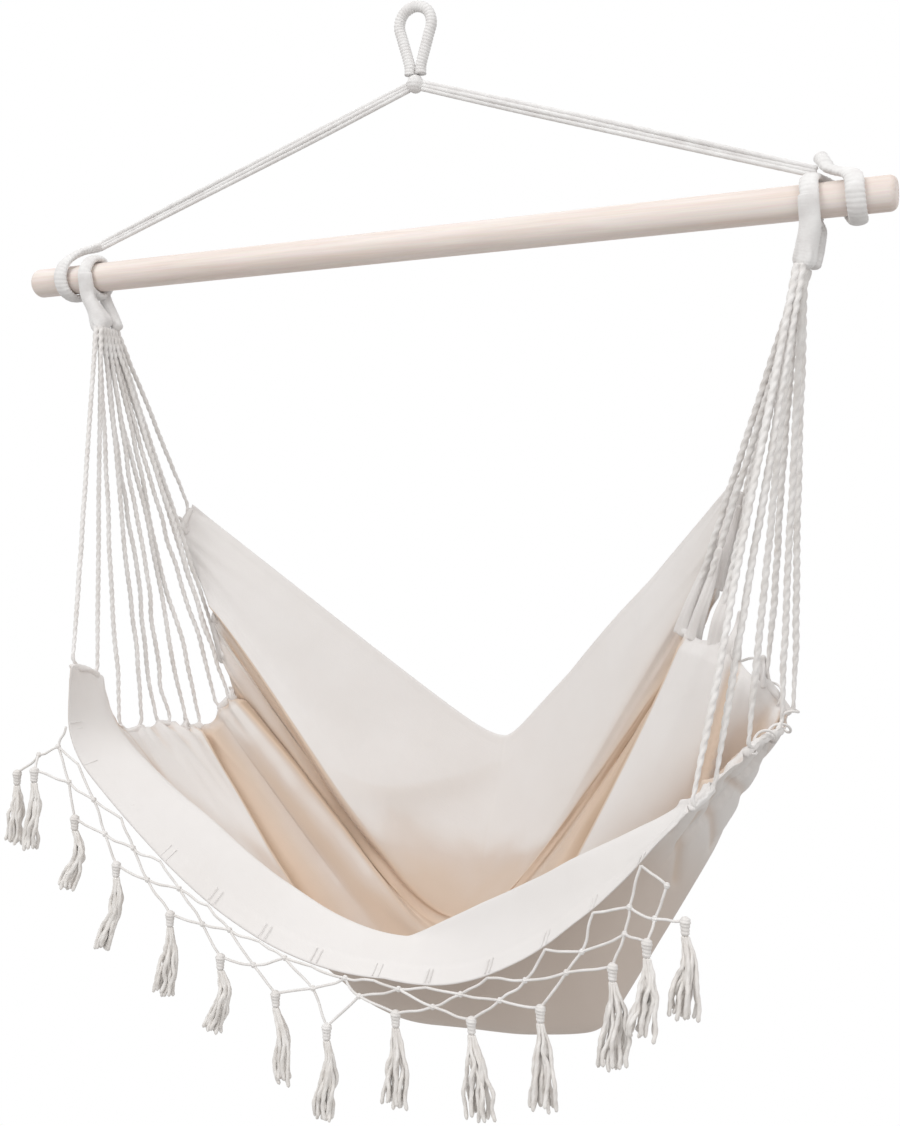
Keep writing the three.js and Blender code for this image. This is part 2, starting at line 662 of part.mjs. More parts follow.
// Tassel: a bound head over a fluted skirt, hung from its net knot.
function tassel(knot, index) {
  const headRadius = tasselHeadDiameter / 2;
  const skirtRadius = tasselSkirtDiameter / 2;
  const top = knot.z - netKnotDiameter / 2 - clearance;
  const profileShares = [
    [0, 0.4 * headRadius, 0],
    [0.03, headRadius, 0],
    [0.15, headRadius, 0],
    [0.17, 0.8 * headRadius, 0],
    [0.24, 0.55 * skirtRadius, 0.1],
    [0.55, 0.78 * skirtRadius, 0.16],
    [0.85, 0.95 * skirtRadius, 0.2],
    [1, skirtRadius, 0.24],
  ];
  const sides = 12;
  const rings = profileShares.map(([share, radius, flute]) => {
    const ring = [];
    for (let side = 0; side < sides; side += 1) {
      const turn = (side / sides) * 2 * Math.PI + index;
      const reach = radius * (side % 2 === 0 ? 1 : 1 - flute);
      ring.push(
        point(knot.x + reach * Math.cos(turn), knot.y + reach * Math.sin(turn), top - share * tasselLength),
      );
    }
    return ring;
  });
  return loft(rings);
}

addMesh(chair, "hanging_eye", hangingEye(), materials.rope);
addMesh(chair, "bridle_knot", bridleKnot(), materials.rope);
addMesh(chair, "bridle_rope_left", bridleRope("left"), materials.rope);
addMesh(chair, "bridle_rope_right", bridleRope("right"), materials.rope);
addMesh(hung, "spreader_bar", spreaderBar(), materials.wood);
addMesh(hung, "hitch_left", hitch("left", leftHitchShares), materials.rope);
addMesh(hung, "hitch_right", hitch("right", rightHitchShares), materials.rope);
addMesh(hung, "neck_left", neck("left"), materials.rope);
addMesh(hung, "neck_right", neck("right"), materials.rope);
for (const side of ["left", "right"]) {
  for (let index = 0; index < landingShares[side].length / 2; index += 1) {
    addMesh(hung, `cord_${side}_${index + 1}`, suspensionCord(side, index), materials.cord);
  }
}
addMesh(hung, "hammock_cloth", hammockCloth(), materials.canvas);
addMesh(hung, "fringe_net", fringeNet(), materials.cord);
tasselKnots.forEach((knot, index) => {
  addMesh(hung, `tassel_${String(index + 1).padStart(2, "0")}`, tassel(knot, index), materials.tassel);
});

export default chair;
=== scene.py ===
"""A hammock chair: rope eye, bridle, wooden bar, rope hitches, fans of cords, a canvas seat
and a knotted net with tassels along its front hem.

Metres. +X runs along the bar, -Y is the front, +Z is up, and the origin is the inside top
of the hanging eye. The sheet, the cords and the net follow the same shares as the frame's
own solids, at a finer step.
"""

import math

import bpy
import numpy as np
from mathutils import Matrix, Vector
from mathutils.bvhtree import BVHTree

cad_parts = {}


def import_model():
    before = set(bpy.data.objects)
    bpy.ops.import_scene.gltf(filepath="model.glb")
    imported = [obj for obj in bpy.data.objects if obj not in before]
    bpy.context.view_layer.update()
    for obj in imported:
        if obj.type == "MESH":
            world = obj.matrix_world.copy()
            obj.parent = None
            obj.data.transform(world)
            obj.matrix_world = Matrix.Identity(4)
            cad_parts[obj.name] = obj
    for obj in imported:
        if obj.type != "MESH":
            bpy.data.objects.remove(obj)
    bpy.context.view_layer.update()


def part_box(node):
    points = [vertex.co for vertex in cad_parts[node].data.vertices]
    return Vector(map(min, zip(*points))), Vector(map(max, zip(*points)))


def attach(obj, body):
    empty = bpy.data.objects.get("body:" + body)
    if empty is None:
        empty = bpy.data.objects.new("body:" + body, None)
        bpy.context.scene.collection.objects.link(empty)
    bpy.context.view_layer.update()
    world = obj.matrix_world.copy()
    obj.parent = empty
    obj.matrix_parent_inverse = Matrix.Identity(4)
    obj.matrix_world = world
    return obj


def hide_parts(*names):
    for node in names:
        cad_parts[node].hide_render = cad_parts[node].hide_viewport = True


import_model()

MM = 0.001
TURN = 2 * math.pi
GOLDEN_TURN = 2.39996

# Camera: level, seen a little from the right of the front
CAMERA_PLACE = Vector((0.644, -1.319, -0.582))
CAMERA_VIEW = Vector((-0.4163, 0.9092, 0.0))
CAMERA_LENS = 44.57
CAMERA_SHIFT = 0.0018
FLOOR_Z = -1.56
FLOOR_REACH = 4.0

# The sheet as it hangs
HALF_WIDTH = 0.340
HALF_DEPTH = 0.140
BACK_DROP = 0.500
SEAT_DEPTH = 0.556
SEAT_SHIFT = 0.007
SEAT_ASIDE = 0.004
FLAP_START_SHARE = 0.84
FLAP_RISE = 0.060
CLOTH_THICKNESS = 0.0014
CLOTH_GRID = 361
HEMS = {"left": 0.014, "right": 0.014, "front": 0.019}
HEM_HEIGHT = 0.0006
HEM_EDGE = 0.002
BACK_HEM = 0.012
BACK_HEM_HEIGHT = 0.0004
CASING_STANDOFF = 0.0029
EDGE_NUDGE = 0.02

# Rope and cord sizes, and the cords on each side
SIDES = ("left", "right")
CORDS = 7
HITCH_INSET = {"left": 0.088, "right": 0.076}
HITCH_WIDTH = 0.018
HITCH_DEPTH = 0.009
WRAP_GAP = 0.0008
EYE_ROPE = 0.012
EYE_DROP = 0.050
BRIDLE_CORD = 0.0048
CORD_THIN = 0.0022
CORD_FULL = {"left": 0.0028, "right": 0.0036}
NET_CORD = 0.0028
NET_KNOT = 0.006
CLEARANCE = 0.0003

# Twisted cords: strands, lay and depth. Whipped ropes: pitch and depth.
LAYS = {
    "left": (2, 0.019, 0.36), "right": (2, 0.024, 0.36), "bridle": (3, 0.030, 0.045),
    "net": (3, 0.007, 0.2), "tassel": (2, 0.020, 0.2), "stitch": (2, 0.004, 0.2),
}
WHIPPING = {
    "eye": (0.0034, 0.1), "knot": (0.0040, 0.1), "hitch": (0.0045, 0.07),
    "neck": (0.0026, 0.03), "net": (0.0022, 0.2), "tassel": (0.0032, 0.14),
}

# Tabs of the edge's cloth drawn up along the cords: share down the edge, height and width
TABS = {
    "left": [(0.066, 0.024, 0.010), (0.302, 0.024, 0.011), (0.368, 0.020, 0.010),
             (0.502, 0.018, 0.011), (0.664, 0.018, 0.011)],
    "right": [(0.160, 0.070, 0.015), (0.220, 0.092, 0.016), (0.480, 0.112, 0.017), (0.530, 0.100, 0.016),
              (0.575, 0.078, 0.015), (0.616, 0.050, 0.015), (0.665, 0.032, 0.014)],
}
CORD_PITCH = 0.0047
CORD_GAP = 0.0024
CORD_WAVER = {
    "left": [0.0010, 0.0016, 0.0040, 0.0052, 0.0040, 0.0022, 0.0006],
    "right": [0.0008, 0.0010, 0.0012, 0.0018, 0.0014, 0.0012, 0.0010],
}

# The sheet, row by row from the back edge to the front hem. Each row: left end, middle and
# right end (shares of half width, half depth and seat depth), then left and right: how far
# its floor stays level, how softly it turns up, and its fold (y, z).
SHEET_ROW_SHARES = [
    [(-0.99, 0.65, 0.016), (0.15, 1.07, 0.498), (0.99, 0.65, -0.023),
     (0, 0), (0.07, 0.04), (0, 0), (0, 0)],
    [(-1.01, 0.54, 0.086), (0.13, 0.93, 0.629), (0.97, 0.57, 0.027),
     (0, 0), (0.14, 0.1), (0, 0), (0, 0)],
    [(-0.96, 0.56, 0.162), (0.11, 0.74, 0.759), (0.96, 0.54, 0.108),
     (0.02, 0.04), (0.2, 0.16), (0, 0), (0, 0)],
    [(-0.9, 0.57, 0.227), (0.08, 0.59, 0.842), (0.94, 0.51, 0.189),
     (0.04, 0.06), (0.22, 0.16), (-0.03, 0), (0.03, 0)],
    [(-0.89, 0.58, 0.261), (0.08, 0.57, 0.849), (0.92, 0.51, 0.219),
     (0.06, 0.08), (0.22, 0.16), (0.1, -0.01), (0.04, 0)],
    [(-0.85, 0.58, 0.342), (0.08, 0.54, 0.863), (0.9, 0.53, 0.245),
     (0.08, 0.1), (0.2, 0.16), (0.09, -0.01), (0.06, -0.01)],
    [(-0.82, 0.6, 0.41), (0.08, 0.5, 0.881), (0.86, 0.47, 0.263),
     (0.1, 0.14), (0.18, 0.14), (0.08, -0.01), (0.04, -0.02)],
    [(-0.81, 0.57, 0.432), (0.08, 0.44, 0.899), (0.84, 0.39, 0.27),
     (0.14, 0.26), (0.16, 0.12), (0, 0), (-0.02, -0.025)],
    [(-0.86, 0.51, 0.464), (0.09, 0.3, 0.935), (0.94, 0.27, 0.281),
     (0.18, 0.32), (0.18, 0.12), (0.03, -0.01), (-0.04, 0)],
    [(-0.89, 0.34, 0.493), (0.1, 0.13, 0.973), (1.05, 0.23, 0.327),
     (0.24, 0.38), (0.18, 0.1), (-0.06, 0), (0, 0)],
    [(-0.95, 0.01, 0.478), (0.12, -0.07, 1), (1.15, 0.37, 0.417),
     (0.28, 0.5), (0.2, 0.05), (0, 0), (0, 0)],
    [(-0.99, -0.27, 0.489), (0.14, -0.34, 0.978), (1.11, -0.27, 0.446),
     (0.22, 0.38), (0.3, 0.12), (0, 0), (0, 0)],
    [(-1.01, -0.43, 0.462), (0.14, -0.57, 0.885), (1.07, -0.66, 0.482),
     (0.12, 0.18), (0.5, 0.25), (0, 0), (0, 0)],
    [(-0.92, -0.61, 0.48), (0.13, -0.69, 0.806), (1.03, -0.87, 0.514),
     (0, 0), (0.5, 0.05), (0, 0), (0, 0)],
    [(-0.99, -0.99, 0.498), (0.13, -0.99, 0.861), (1, -1, 0.534),
     (0, 0), (1.5, 1.5), (0, -0.013), (0, -0.018)],
]
FLAP_SHARES = [(0, 0, 0.25), (-0.5, 0.05, 1.03), (-0.02, 0.02, 1.45)]
LANDING_SHARES = {
    "left": [0.01, 0.067, 0.3, 0.37, 0.5, 0.555, 0.625, 0.66, 0.69, 0.715, 0.745, 0.81, 0.928, 0.99],
    "right": [0.02, 0.118, 0.16, 0.22, 0.48, 0.53, 0.575, 0.616, 0.665, 0.706, 0.745, 0.807, 0.9, 0.985],
}
CASING_STOP_SHARES = [0.14, 0.5, 0.86]
CASING_TURN = 0.007
HAIRPIN_WIDTH = 0.0052
HAIRPIN_SHARE = 0.78

# Folds of the seat. Each: side, share down at the side edge and further in, how far across
# it starts, reaches its inner share and ends, its height, the hollow beside it, its gentle
# and its steep width (mm), whether its steep side faces the front (1) or the back (-1), how
# much shade is painted on the cloth behind it and how far that painted shade reaches (mm).
SEAT_FOLDS = [
    ("left", 0.185, 0.215, 0.00, 0.40, 0.40, 10, 6, 50, 5, 1, 0.8, 14),
    ("left", 0.340, 0.350, 0.00, 0.45, 0.45, 8, 0, 50, 50, 1, 0.0, 10),
    ("left", 0.485, 0.480, 0.00, 0.47, 0.47, 11, 7, 45, 4.5, -1, 1.0, 30),
    ("left", 0.570, 0.575, 0.00, 0.45, 0.45, 5, 0, 35, 35, 1, 0.0, 10),
    ("left", 0.655, 0.675, 0.00, 0.44, 0.44, 11, 7, 50, 4.5, -1, 1.0, 32),
    ("left", 0.330, 0.420, 0.10, 0.50, 0.62, 4, 2, 18, 7, -1, 0.4, 16),
    ("left", 0.400, 0.500, 0.20, 0.60, 0.70, 3, 1, 14, 6, -1, 0.3, 14),
    ("left", 0.355, 0.030, 0.20, 0.49, 0.56, 5, 3, 50, 30, 1, 0.1, 30),
    ("left", 0.820, 0.800, 0.00, 0.20, 0.20, 4, 2, 22, 6, -1, 0.4, 12),
    ("right", 0.525, 0.550, 0.00, 0.36, 0.40, 6, 12, 80, 6, -1, 1.0, 105),
    ("right", 0.120, 0.190, 0.00, 0.30, 0.40, 3, 1, 30, 11, 1, 0.1, 20),
    ("right", 0.630, 0.680, 0.00, 0.13, 0.13, 8, 5, 12, 4.5, -1, 0.8, 10),
    ("right", 0.690, 0.740, 0.00, 0.11, 0.11, 9, 5, 10, 4.5, 1, 0.8, 10),
    ("right", 0.745, 0.800, 0.00, 0.14, 0.14, 8, 6, 12, 4, -1, 0.8, 10),
    ("right", 0.800, 0.770, 0.00, 0.09, 0.09, 7, 5, 9, 4, 1, 0.7, 8),
    ("right", 0.850, 0.840, 0.00, 0.12, 0.12, 6, 4, 12, 4.5, 1, 0.7, 8),
]

# Creases in the outer side of the bunched cloth at the front right (across, down)
CREASES = [
    [(0.990, 0.880), (0.950, 0.800), (0.905, 0.735)],
    [(0.985, 0.810), (0.965, 0.790), (0.950, 0.740), (0.930, 0.705)],
    [(0.995, 0.745), (0.970, 0.725), (0.955, 0.690)],
    [(0.985, 0.930), (0.960, 0.905), (0.935, 0.860), (0.905, 0.830)],
    [(0.930, 0.800), (0.900, 0.790), (0.870, 0.760)],
]
CREASE_WIDTH = 0.0042
CREASE_HEIGHT = 0.0034
# Painted shade in the creases of the outer side
CREASE_PAINTED_SHADE = 0.18
FLAT_SIZE = np.array([0.960, 0.560])

# Soft waves all over the cloth: height, cells down and across, and seed
CLOTH_WAVES = [(0.0016, (7, 9), 3), (0.0006, (19, 26), 4)]
STREAK_HEIGHT = 0.0012

# Painted shade of the canvas by how hollow it lies, tan where it stands for warm bounced light
PAINTED_SHADE_TONES = [
    (0, (0.885, 0.885, 0.885)), (0.10, (0.86, 0.845, 0.83)), (0.25, (0.77, 0.70, 0.645)),
    (0.45, (0.76, 0.655, 0.56)), (0.70, (0.80, 0.66, 0.54)), (0.85, (0.70, 0.55, 0.42)),
    (1, (0.42, 0.33, 0.27)),
]

# Where the painted tan shade of the bowl begins below the lit upper back: share across and share down
BOWL_SHADE_LINE = [
    (0.0, 0.28), (0.257, 0.20), (0.371, 0.125), (0.477, 0.065), (0.56, 0.10), (0.75, 0.26), (1.0, 0.45),
]

# Hitches: turn about the bar from its top towards the front, place along it as a share of
# the flat rope's width, and distance beyond the wound turns as a share of its depth
HITCH_SHARES = {"left": [
    (0, 0.5, 1.75), (0, -0.2, 1.42), (8, -0.85, 1.15), (25, -1.5, 0.6), (50, -1.9, 0.15), (90, -2, 0),
    (135, -1.95, 0), (180, -1.8, 0), (225, -1.45, 0), (270, -0.95, 0), (315, -0.35, 0), (345, 0, 0),
    (375, 0.05, 0), (405, 0, 0), (450, -0.05, 0), (495, 0, 0), (540, 0.05, 0), (565, 0.05, 0),
], "right": [
    (-5, 0.25, 2.45), (0, 0.55, 1.6), (7, 0.85, 0.75), (13, 1.3, 0.35), (24, 1.8, 0.15), (42, 2.12, 0.05),
    (65, 2.25, 0), (90, 2.3, 0), (135, 2.35, 0), (180, 2.3, 0), (225, 2.05, 0), (270, 1.5, 0), (315, 0.65, 0),
    (345, 0.15, 0), (372, 0, 0), (405, -0.05, 0), (450, 0.05, 0), (495, 0, 0), (540, 0, 0), (565, 0, 0),
]}
BRIDLE_END_SHARES = {"left": (0.53, 1.78), "right": (-0.3, 1.25)}
BRIDLE_DROP = {"left": 0.0, "right": 0.003}
BRIDLE_TUCK = {"left": 0.005, "right": 0.011}

# Fringe: stitches along the hem, then knots as shares of half width and seat depth
STITCH_SHARES = [0.06, 0.098, 0.16, 0.215, 0.28, 0.347, 0.413, 0.489, 0.576, 0.681, 0.777, 0.854, 0.93]
UPPER_KNOT_SHARES = [
    (-1.02, 0.497), (-0.88, 0.594), (-0.73, 0.678), (-0.56, 0.744), (-0.38, 0.808), (-0.19, 0.845),
    (0.01, 0.866), (0.18, 0.872), (0.37, 0.866), (0.56, 0.828), (0.72, 0.77), (0.85, 0.69), (0.95, 0.65),
]
LOWER_KNOT_SHARES = [
    (-1.09, 0.515), (-0.97, 0.563), (-0.83, 0.656), (-0.67, 0.733), (-0.47, 0.802), (-0.29, 0.864),
    (-0.09, 0.89), (0.06, 0.892), (0.29, 0.892), (0.49, 0.865), (0.68, 0.805), (0.84, 0.732), (0.92, 0.703),
]
TASSEL_SHARES = [
    (-1.17, 0.552), (-1.07, 0.54), (-0.94, 0.629), (-0.78, 0.709), (-0.58, 0.789), (-0.4, 0.855),
    (-0.21, 0.907), (-0.04, 0.951), (0.18, 0.91), (0.41, 0.902), (0.61, 0.866), (0.81, 0.784),
    (0.91, 0.735), (1, 0.7),
]
TASSEL_STRANDS = 15
TASSEL_STEPS = [0, 4, 0, 0, 0, 0, 0, 0, 0, 0, 0, 0, 3, -1]
HEM_STANDOFF = 0.0024
NET_ROW_STEP = 0.003

# How each tassel hangs: lean to the right, length, spread at its foot and curl (mm)
TASSEL_FORMS = [
    (-2, 78, 21, 1), (-6, 86, 20, 2), (-4, 78, 19, 7), (-14, 93, 18, 3), (-6, 85, 24, 2),
    (-4, 78, 21, 6), (15, 88, 19, 5), (-1, 92, 22, 3), (2, 90, 26, 2), (12, 93, 31, 3),
    (4, 93, 27, 2), (1, 93, 33, 3), (-4, 85, 29, 2), (2, 86, 27, 3),
]

# Places read from the frame
BAR_LOW, BAR_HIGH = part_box("spreader_bar")
HUNG_X = (BAR_LOW.x + BAR_HIGH.x) / 2 - SEAT_ASIDE
BAR_Z = (BAR_LOW.z + BAR_HIGH.z) / 2
BAR_RADIUS = (BAR_HIGH.z - BAR_LOW.z) / 2
KNOT_LOW, KNOT_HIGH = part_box("bridle_knot")
KNOT_Z = (KNOT_LOW.z + KNOT_HIGH.z) / 2
KNOT_RADIUS = (KNOT_HIGH.z - KNOT_LOW.z) / 2
WRAP_DISTANCE = BAR_RADIUS + WRAP_GAP + HITCH_DEPTH / 2
HITCH_PLACE = {"left": BAR_LOW.x + HITCH_INSET["left"], "right": BAR_HIGH.x - HITCH_INSET["right"]}
NECK_FOOT_SHARES = {"left": (0.46, -0.13), "right": (-0.21, -0.13)}


# Curves and meshes

def spline(table, share):
    """Catmull-Rom values of a table of rows at shares from 0 to 1."""
    table = np.asarray(table, float)
    last = len(table) - 1
    place = np.clip(np.asarray(share, float), 0, 1) * last
    index = np.minimum(place.astype(int), last - 1)
    step = (place - index)[..., None]
    p1, p2 = table[index], table[index + 1]
    p0 = np.where((index > 0)[..., None], table[np.maximum(index - 1, 0)], 2 * p1 - p2)
    p3 = np.where((index < last - 1)[..., None], table[np.minimum(index + 2, last)], 2 * p2 - p1)
    curve = 2 * p1 + (p2 - p0) * step + (2 * p0 - 5 * p1 + 4 * p2 - p3) * step**2
    return 0.5 * (curve + (3 * p1 - p0 - 3 * p2 + p3) * step**3)


def unit(way):
    return way / np.linalg.norm(way, axis=-1, keepdims=True)


def bell(distance, width):
    """1 at no distance, falling off softly over a width."""
    return np.exp(-((distance / width) ** 2))


def lengths(path):
    """How far along a path each of its points lies."""
    return np.concatenate([[0], np.cumsum(np.linalg.norm(np.diff(path, axis=0), axis=1))])


def even(points, step):
    """Points at an even spacing along a smooth curve through the given ones."""
    points = np.asarray(points, float)
    dense = spline(points, np.linspace(0, 1, 24 * (len(points) - 1) + 1))
    run = lengths(dense)
    count = max(int(round(run[-1] / step)), 2) + 1
    wanted = np.linspace(0, run[-1], count)
    return np.stack([np.interp(wanted, run, dense[:, axis]) for axis in range(3)], axis=1)


def frames(path, facing=None):
    """Outwards and aside at each point of a path: turning as little as possible, or with
    outwards as close as it can be to a given way at each point."""
    along = unit(np.gradient(path, axis=0))
    outwards = np.zeros_like(path)
    current = np.array([0.0, 1.0, 0.0])
    for index, forward in enumerate(along):
        current = current if facing is None else facing[index]
        current = unit(current - forward * current.dot(forward))
        outwards[index] = current
    return outwards, np.cross(along, outwards)


def tube(path, radius, sides, form=None, deep=1.0, facing=None):
    """Points and quads of a closed tube. form(turn, run) scales the radius, and deep is the
    section's depth outwards beside its width."""
    path = np.asarray(path, float)
    run = lengths(path)[:, None]
    turn = np.arange(sides)[None, :] * TURN / sides
    scale = np.ones((len(path), sides)) if form is None else form(turn, run)
    reach = np.broadcast_to(np.asarray(radius, float).reshape(-1, 1), (len(path), 1)) * scale
    outwards, aside = frames(path, facing)
    depth = np.broadcast_to(np.asarray(deep, float).reshape(-1, 1, 1), (len(path), 1, 1))
    ring = np.cos(turn)[..., None] * outwards[:, None] * depth + np.sin(turn)[..., None] * aside[:, None]
    rings = path[:, None] + reach[..., None] * ring
    count = len(rings)
    first = np.arange(count - 1)[:, None] * sides
    side = np.arange(sides)[None, :]
    after = (side + 1) % sides
    quads = np.stack([first + side, first + after, first + sides + after, first + sides + side], -1)
    faces = quads.reshape(-1, 4).tolist()
    faces.append(list(range(sides))[::-1])
    faces.append(list(range((count - 1) * sides, count * sides)))
    return rings.reshape(-1, 3), faces


def rounded(length, start, end):
    """A factor of the radius along a run that rounds off its two ends over these lengths."""
    near = [np.clip(distance / max(reach, 1e-6), 0, 1) for distance, reach in
            ((length, start), (length[-1] - length, end))]
    return np.maximum(np.sqrt(1 - (1 - near[0]) ** 2) * np.sqrt(1 - (1 - near[1]) ** 2), 0.05)


def joined(parts):
    """Points and faces of several parts as one."""
    points, faces, offset = [], [], 0
    for part_points, part_faces in parts:
        points.append(part_points)
        faces.extend([[corner + offset for corner in face] for face in part_faces])
        offset += len(part_points)
    return np.concatenate(points), faces


def put(name, data):
    """A new object in the scene."""
    made = bpy.data.objects.new(name, data)
    bpy.context.scene.collection.objects.link(made)
    return made


def piece(name, shape, material, body, replaces=(), hollow=None):
    """A smooth-shaded object that rides on a body and stands for CAD nodes. The canvas
    reads its painted shade at each point, from 0 to 1, as the hollow attribute."""
    points, faces = shape
    mesh = bpy.data.meshes.new(name)
    mesh.from_pydata(np.asarray(points).tolist(), [], faces)
    mesh.polygons.foreach_set("use_smooth", [True] * len(mesh.polygons))
    mesh.materials.append(material)
    mesh.update()
    if hollow is not None:
        mesh.attributes.new("hollow", "FLOAT", "POINT").data.foreach_set("value", hollow)
    made = put(name, mesh)
    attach(made, body)
    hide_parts(*replaces)
    return made


# Surface forms of rope and cord: each gives a factor of the radius

def laid(strands, lay, depth):
    """Strands twisted round each other, one turn in each lay."""
    def form(turn, run):
        return 1 - depth * (1 - np.abs(np.cos(strands / 2 * (turn - TURN * run / lay))))
    return form


def braided(cells, pitch, depth):
    """Two sets of strands that cross over and under."""
    def form(turn, run):
        one = np.abs(np.cos(cells / 2 * (turn + TURN * run / pitch)))
        two = np.abs(np.cos(cells / 2 * (turn - TURN * run / pitch)))
        return 1 - depth * (1 - np.maximum(one, two))
    return form


def whipped(pitch, depth):
    """One thin cord wound tightly round a rope."""
    def form(turn, run):
        return 1 - depth * (1 - np.abs(np.cos(math.pi * run / pitch + turn / 2)))
    return form


# Materials

def node(tree, kind, **values):
    """A shader node with its settings and the values of its sockets."""
    made = tree.nodes.new("ShaderNode" + kind)
    for key, value in values.items():
        if hasattr(made, key):
            setattr(made, key, value)
        else:
            made.inputs[key.replace("_", " ")].default_value = value
    return made


def wire(tree, *runs):
    """Links from a node's output to a node's input, each by its name or number."""
    for source, output, target, socket in runs:
        tree.links.new(source.outputs[output], target.inputs[socket])


def tone_ramp(tree, *stops):
    """A colour ramp through these places and colours."""
    made = node(tree, "ValToRGB", name="tones")
    elements = made.color_ramp.elements
    for element, (place, colour) in zip(elements, (stops[0], stops[-1])):
        element.position = place
        element.color = (*colour, 1)
    for place, colour in stops[1:-1]:
        elements.new(place).color = (*colour, 1)
    return made


def surface(name, **values):
    """A new material, its tree, and its shader with these values."""
    material = bpy.data.materials.new(name)
    material.use_nodes = True
    shader = material.node_tree.nodes["Principled BSDF"]
    for key, value in values.items():
        shader.inputs[key.replace("_", " ")].default_value = value
    return material, material.node_tree, shader


def fabric(name, light, dark, patch, fibre, bump):
    """Cotton: two close tones in soft patches, and a fine fibre relief."""
    material, tree, shader = surface(name, Roughness=0.92, Specular_IOR_Level=0.2, Sheen_Weight=0.25,
                                     Sheen_Roughness=0.5)
    place = node(tree, "TexCoord")
    patches = node(tree, "TexNoise", Scale=patch, Detail=4.0, Roughness=0.6)
    fibres = node(tree, "TexNoise", Scale=fibre, Detail=3.0, Roughness=0.7)
    tones = tone_ramp(tree, (0.35, dark), (0.65, light))
    relief = node(tree, "Bump", name="relief", Strength=bump, Distance=0.0006)
    wire(tree, (place, "Object", patches, "Vector"), (place, "Object", fibres, "Vector"),
         (patches, "Fac", tones, "Fac"), (tones, "Color", shader, "Base Color"),
         (fibres, "Fac", relief, "Height"), (relief, "Normal", shader, "Normal"))
    return material


def canvas_material():
    """Natural canvas: off-white where it lies open, with painted shade that turns it tan where it
    lies deep, and thread relief along both ways of the weave."""
    material = fabric("canvas", (0.87, 0.840, 0.822), (0.845, 0.811, 0.788), 9.0, 500.0, 0.35)
    tree = material.node_tree
    shader, tones, relief = (tree.nodes[name] for name in ("Principled BSDF", "tones", "relief"))
    shader.inputs["Roughness"].default_value = 0.95
    relief.inputs["Distance"].default_value = 0.0004
    # Painted shade: the hollow attribute tints the canvas darker and tan in hollows
    depth = node(tree, "Attribute", attribute_name="hollow")
    deep = tone_ramp(tree, *PAINTED_SHADE_TONES)
    shaded_tone = node(tree, "Mix", data_type="RGBA", blend_type="MULTIPLY", Factor=1.0)
    flat = node(tree, "UVMap", uv_map="flat")
    both = node(tree, "Math", operation="ADD")
    wire(tree, (depth, "Fac", deep, "Fac"), (tones, "Color", shaded_tone, "A"), (deep, "Color", shaded_tone, "B"),
         (shaded_tone, "Result", shader, "Base Color"), (both, 0, relief, "Height"))
    for slot, squeeze in enumerate(((1500.0, 60.0, 1.0), (60.0, 1500.0, 1.0))):
        scaled = node(tree, "Mapping", Scale=squeeze)
        threads = node(tree, "TexNoise", Scale=1.0, Detail=2.0, Roughness=0.5)
        wire(tree, (flat, "UV", scaled, "Vector"), (scaled, "Vector", threads, "Vector"),
             (threads, "Fac", both, slot))
    return material


def wood_material():
    """Pale sanded hardwood with fine grain along the bar."""
    material, tree, shader = surface("wood", Roughness=0.55)
    place = node(tree, "TexCoord")
    stretched = node(tree, "Mapping", Scale=(3.0, 70.0, 70.0))
    fine = node(tree, "Mapping", Scale=(25.0, 900.0, 900.0))
    grain = node(tree, "TexNoise", Scale=1.0, Detail=6.0, Roughness=0.65, Distortion=0.6)
    pores = node(tree, "TexNoise", Scale=1.0, Detail=3.0, Roughness=0.6)
    tones = tone_ramp(tree, (0.3, (0.76, 0.63, 0.56)), (0.62, (0.90, 0.82, 0.77)))
    flecks = node(tree, "Mix", data_type="RGBA", blend_type="MULTIPLY", Factor=0.16)
    relief = node(tree, "Bump", Strength=0.12, Distance=0.0003)
    wire(tree, (place, "Object", stretched, "Vector"), (place, "Object", fine, "Vector"),
         (stretched, "Vector", grain, "Vector"), (fine, "Vector", pores, "Vector"),
         (grain, "Fac", tones, "Fac"), (tones, "Color", flecks, "A"), (pores, "Color", flecks, "B"),
         (flecks, "Result", shader, "Base Color"), (pores, "Fac", relief, "Height"),
         (relief, "Normal", shader, "Normal"))
    return material


canvas = canvas_material()
rope = fabric("rope", (0.82, 0.81, 0.80), (0.74, 0.72, 0.71), 60.0, 1100.0, 0.22)
cord = fabric("cord", (0.82, 0.80, 0.785), (0.73, 0.70, 0.675), 45.0, 1100.0, 0.22)
tassel_cotton = fabric("tassel", (0.85, 0.825, 0.80), (0.76, 0.725, 0.69), 90.0, 1100.0, 0.3)
thread = fabric("thread", (0.80, 0.78, 0.765), (0.70, 0.68, 0.66), 60.0, 1100.0, 0.25)
wood = wood_material()


# The sheet

def row_table(pick):
    return np.array([pick(row) for row in SHEET_ROW_SHARES], float)


def in_place(shares):
    """Shares of half width, half depth and seat depth as places in the frame."""
    shares = np.asarray(shares, float)
    scaled = shares * np.array([HALF_WIDTH, HALF_DEPTH, -SEAT_DEPTH])
    return scaled + np.array([HUNG_X, SEAT_SHIFT, -BACK_DROP])


LEFT_ENDS = in_place(row_table(lambda row: row[0]))
MIDDLES = in_place(row_table(lambda row: row[1]))
RIGHT_ENDS = in_place(row_table(lambda row: row[2]))
LEVELS = row_table(lambda row: row[3])
TURNS = row_table(lambda row: row[4])
FOLDS = row_table(lambda row: (*row[5], *row[6])) * [HALF_DEPTH, SEAT_DEPTH, HALF_DEPTH, SEAT_DEPTH]
FLAPS = np.zeros((len(SHEET_ROW_SHARES), 3))
FLAPS[-len(FLAP_SHARES):] = np.array(FLAP_SHARES) * FLAP_RISE


def soft_step(value):
    value = np.clip(value, 0, 1)
    return value * value * (3 - 2 * value)


def ramp(u, level, turn):
    """Rise of a row from its middle (0) to its end (1): level, then a rounded turn up."""
    def both(v):
        return np.sqrt((v - level) ** 2 + turn**2) + np.sqrt((v + level) ** 2 + turn**2)
    return (both(u) - both(0 * u)) / (both(1 + 0 * u) - both(0 * u))


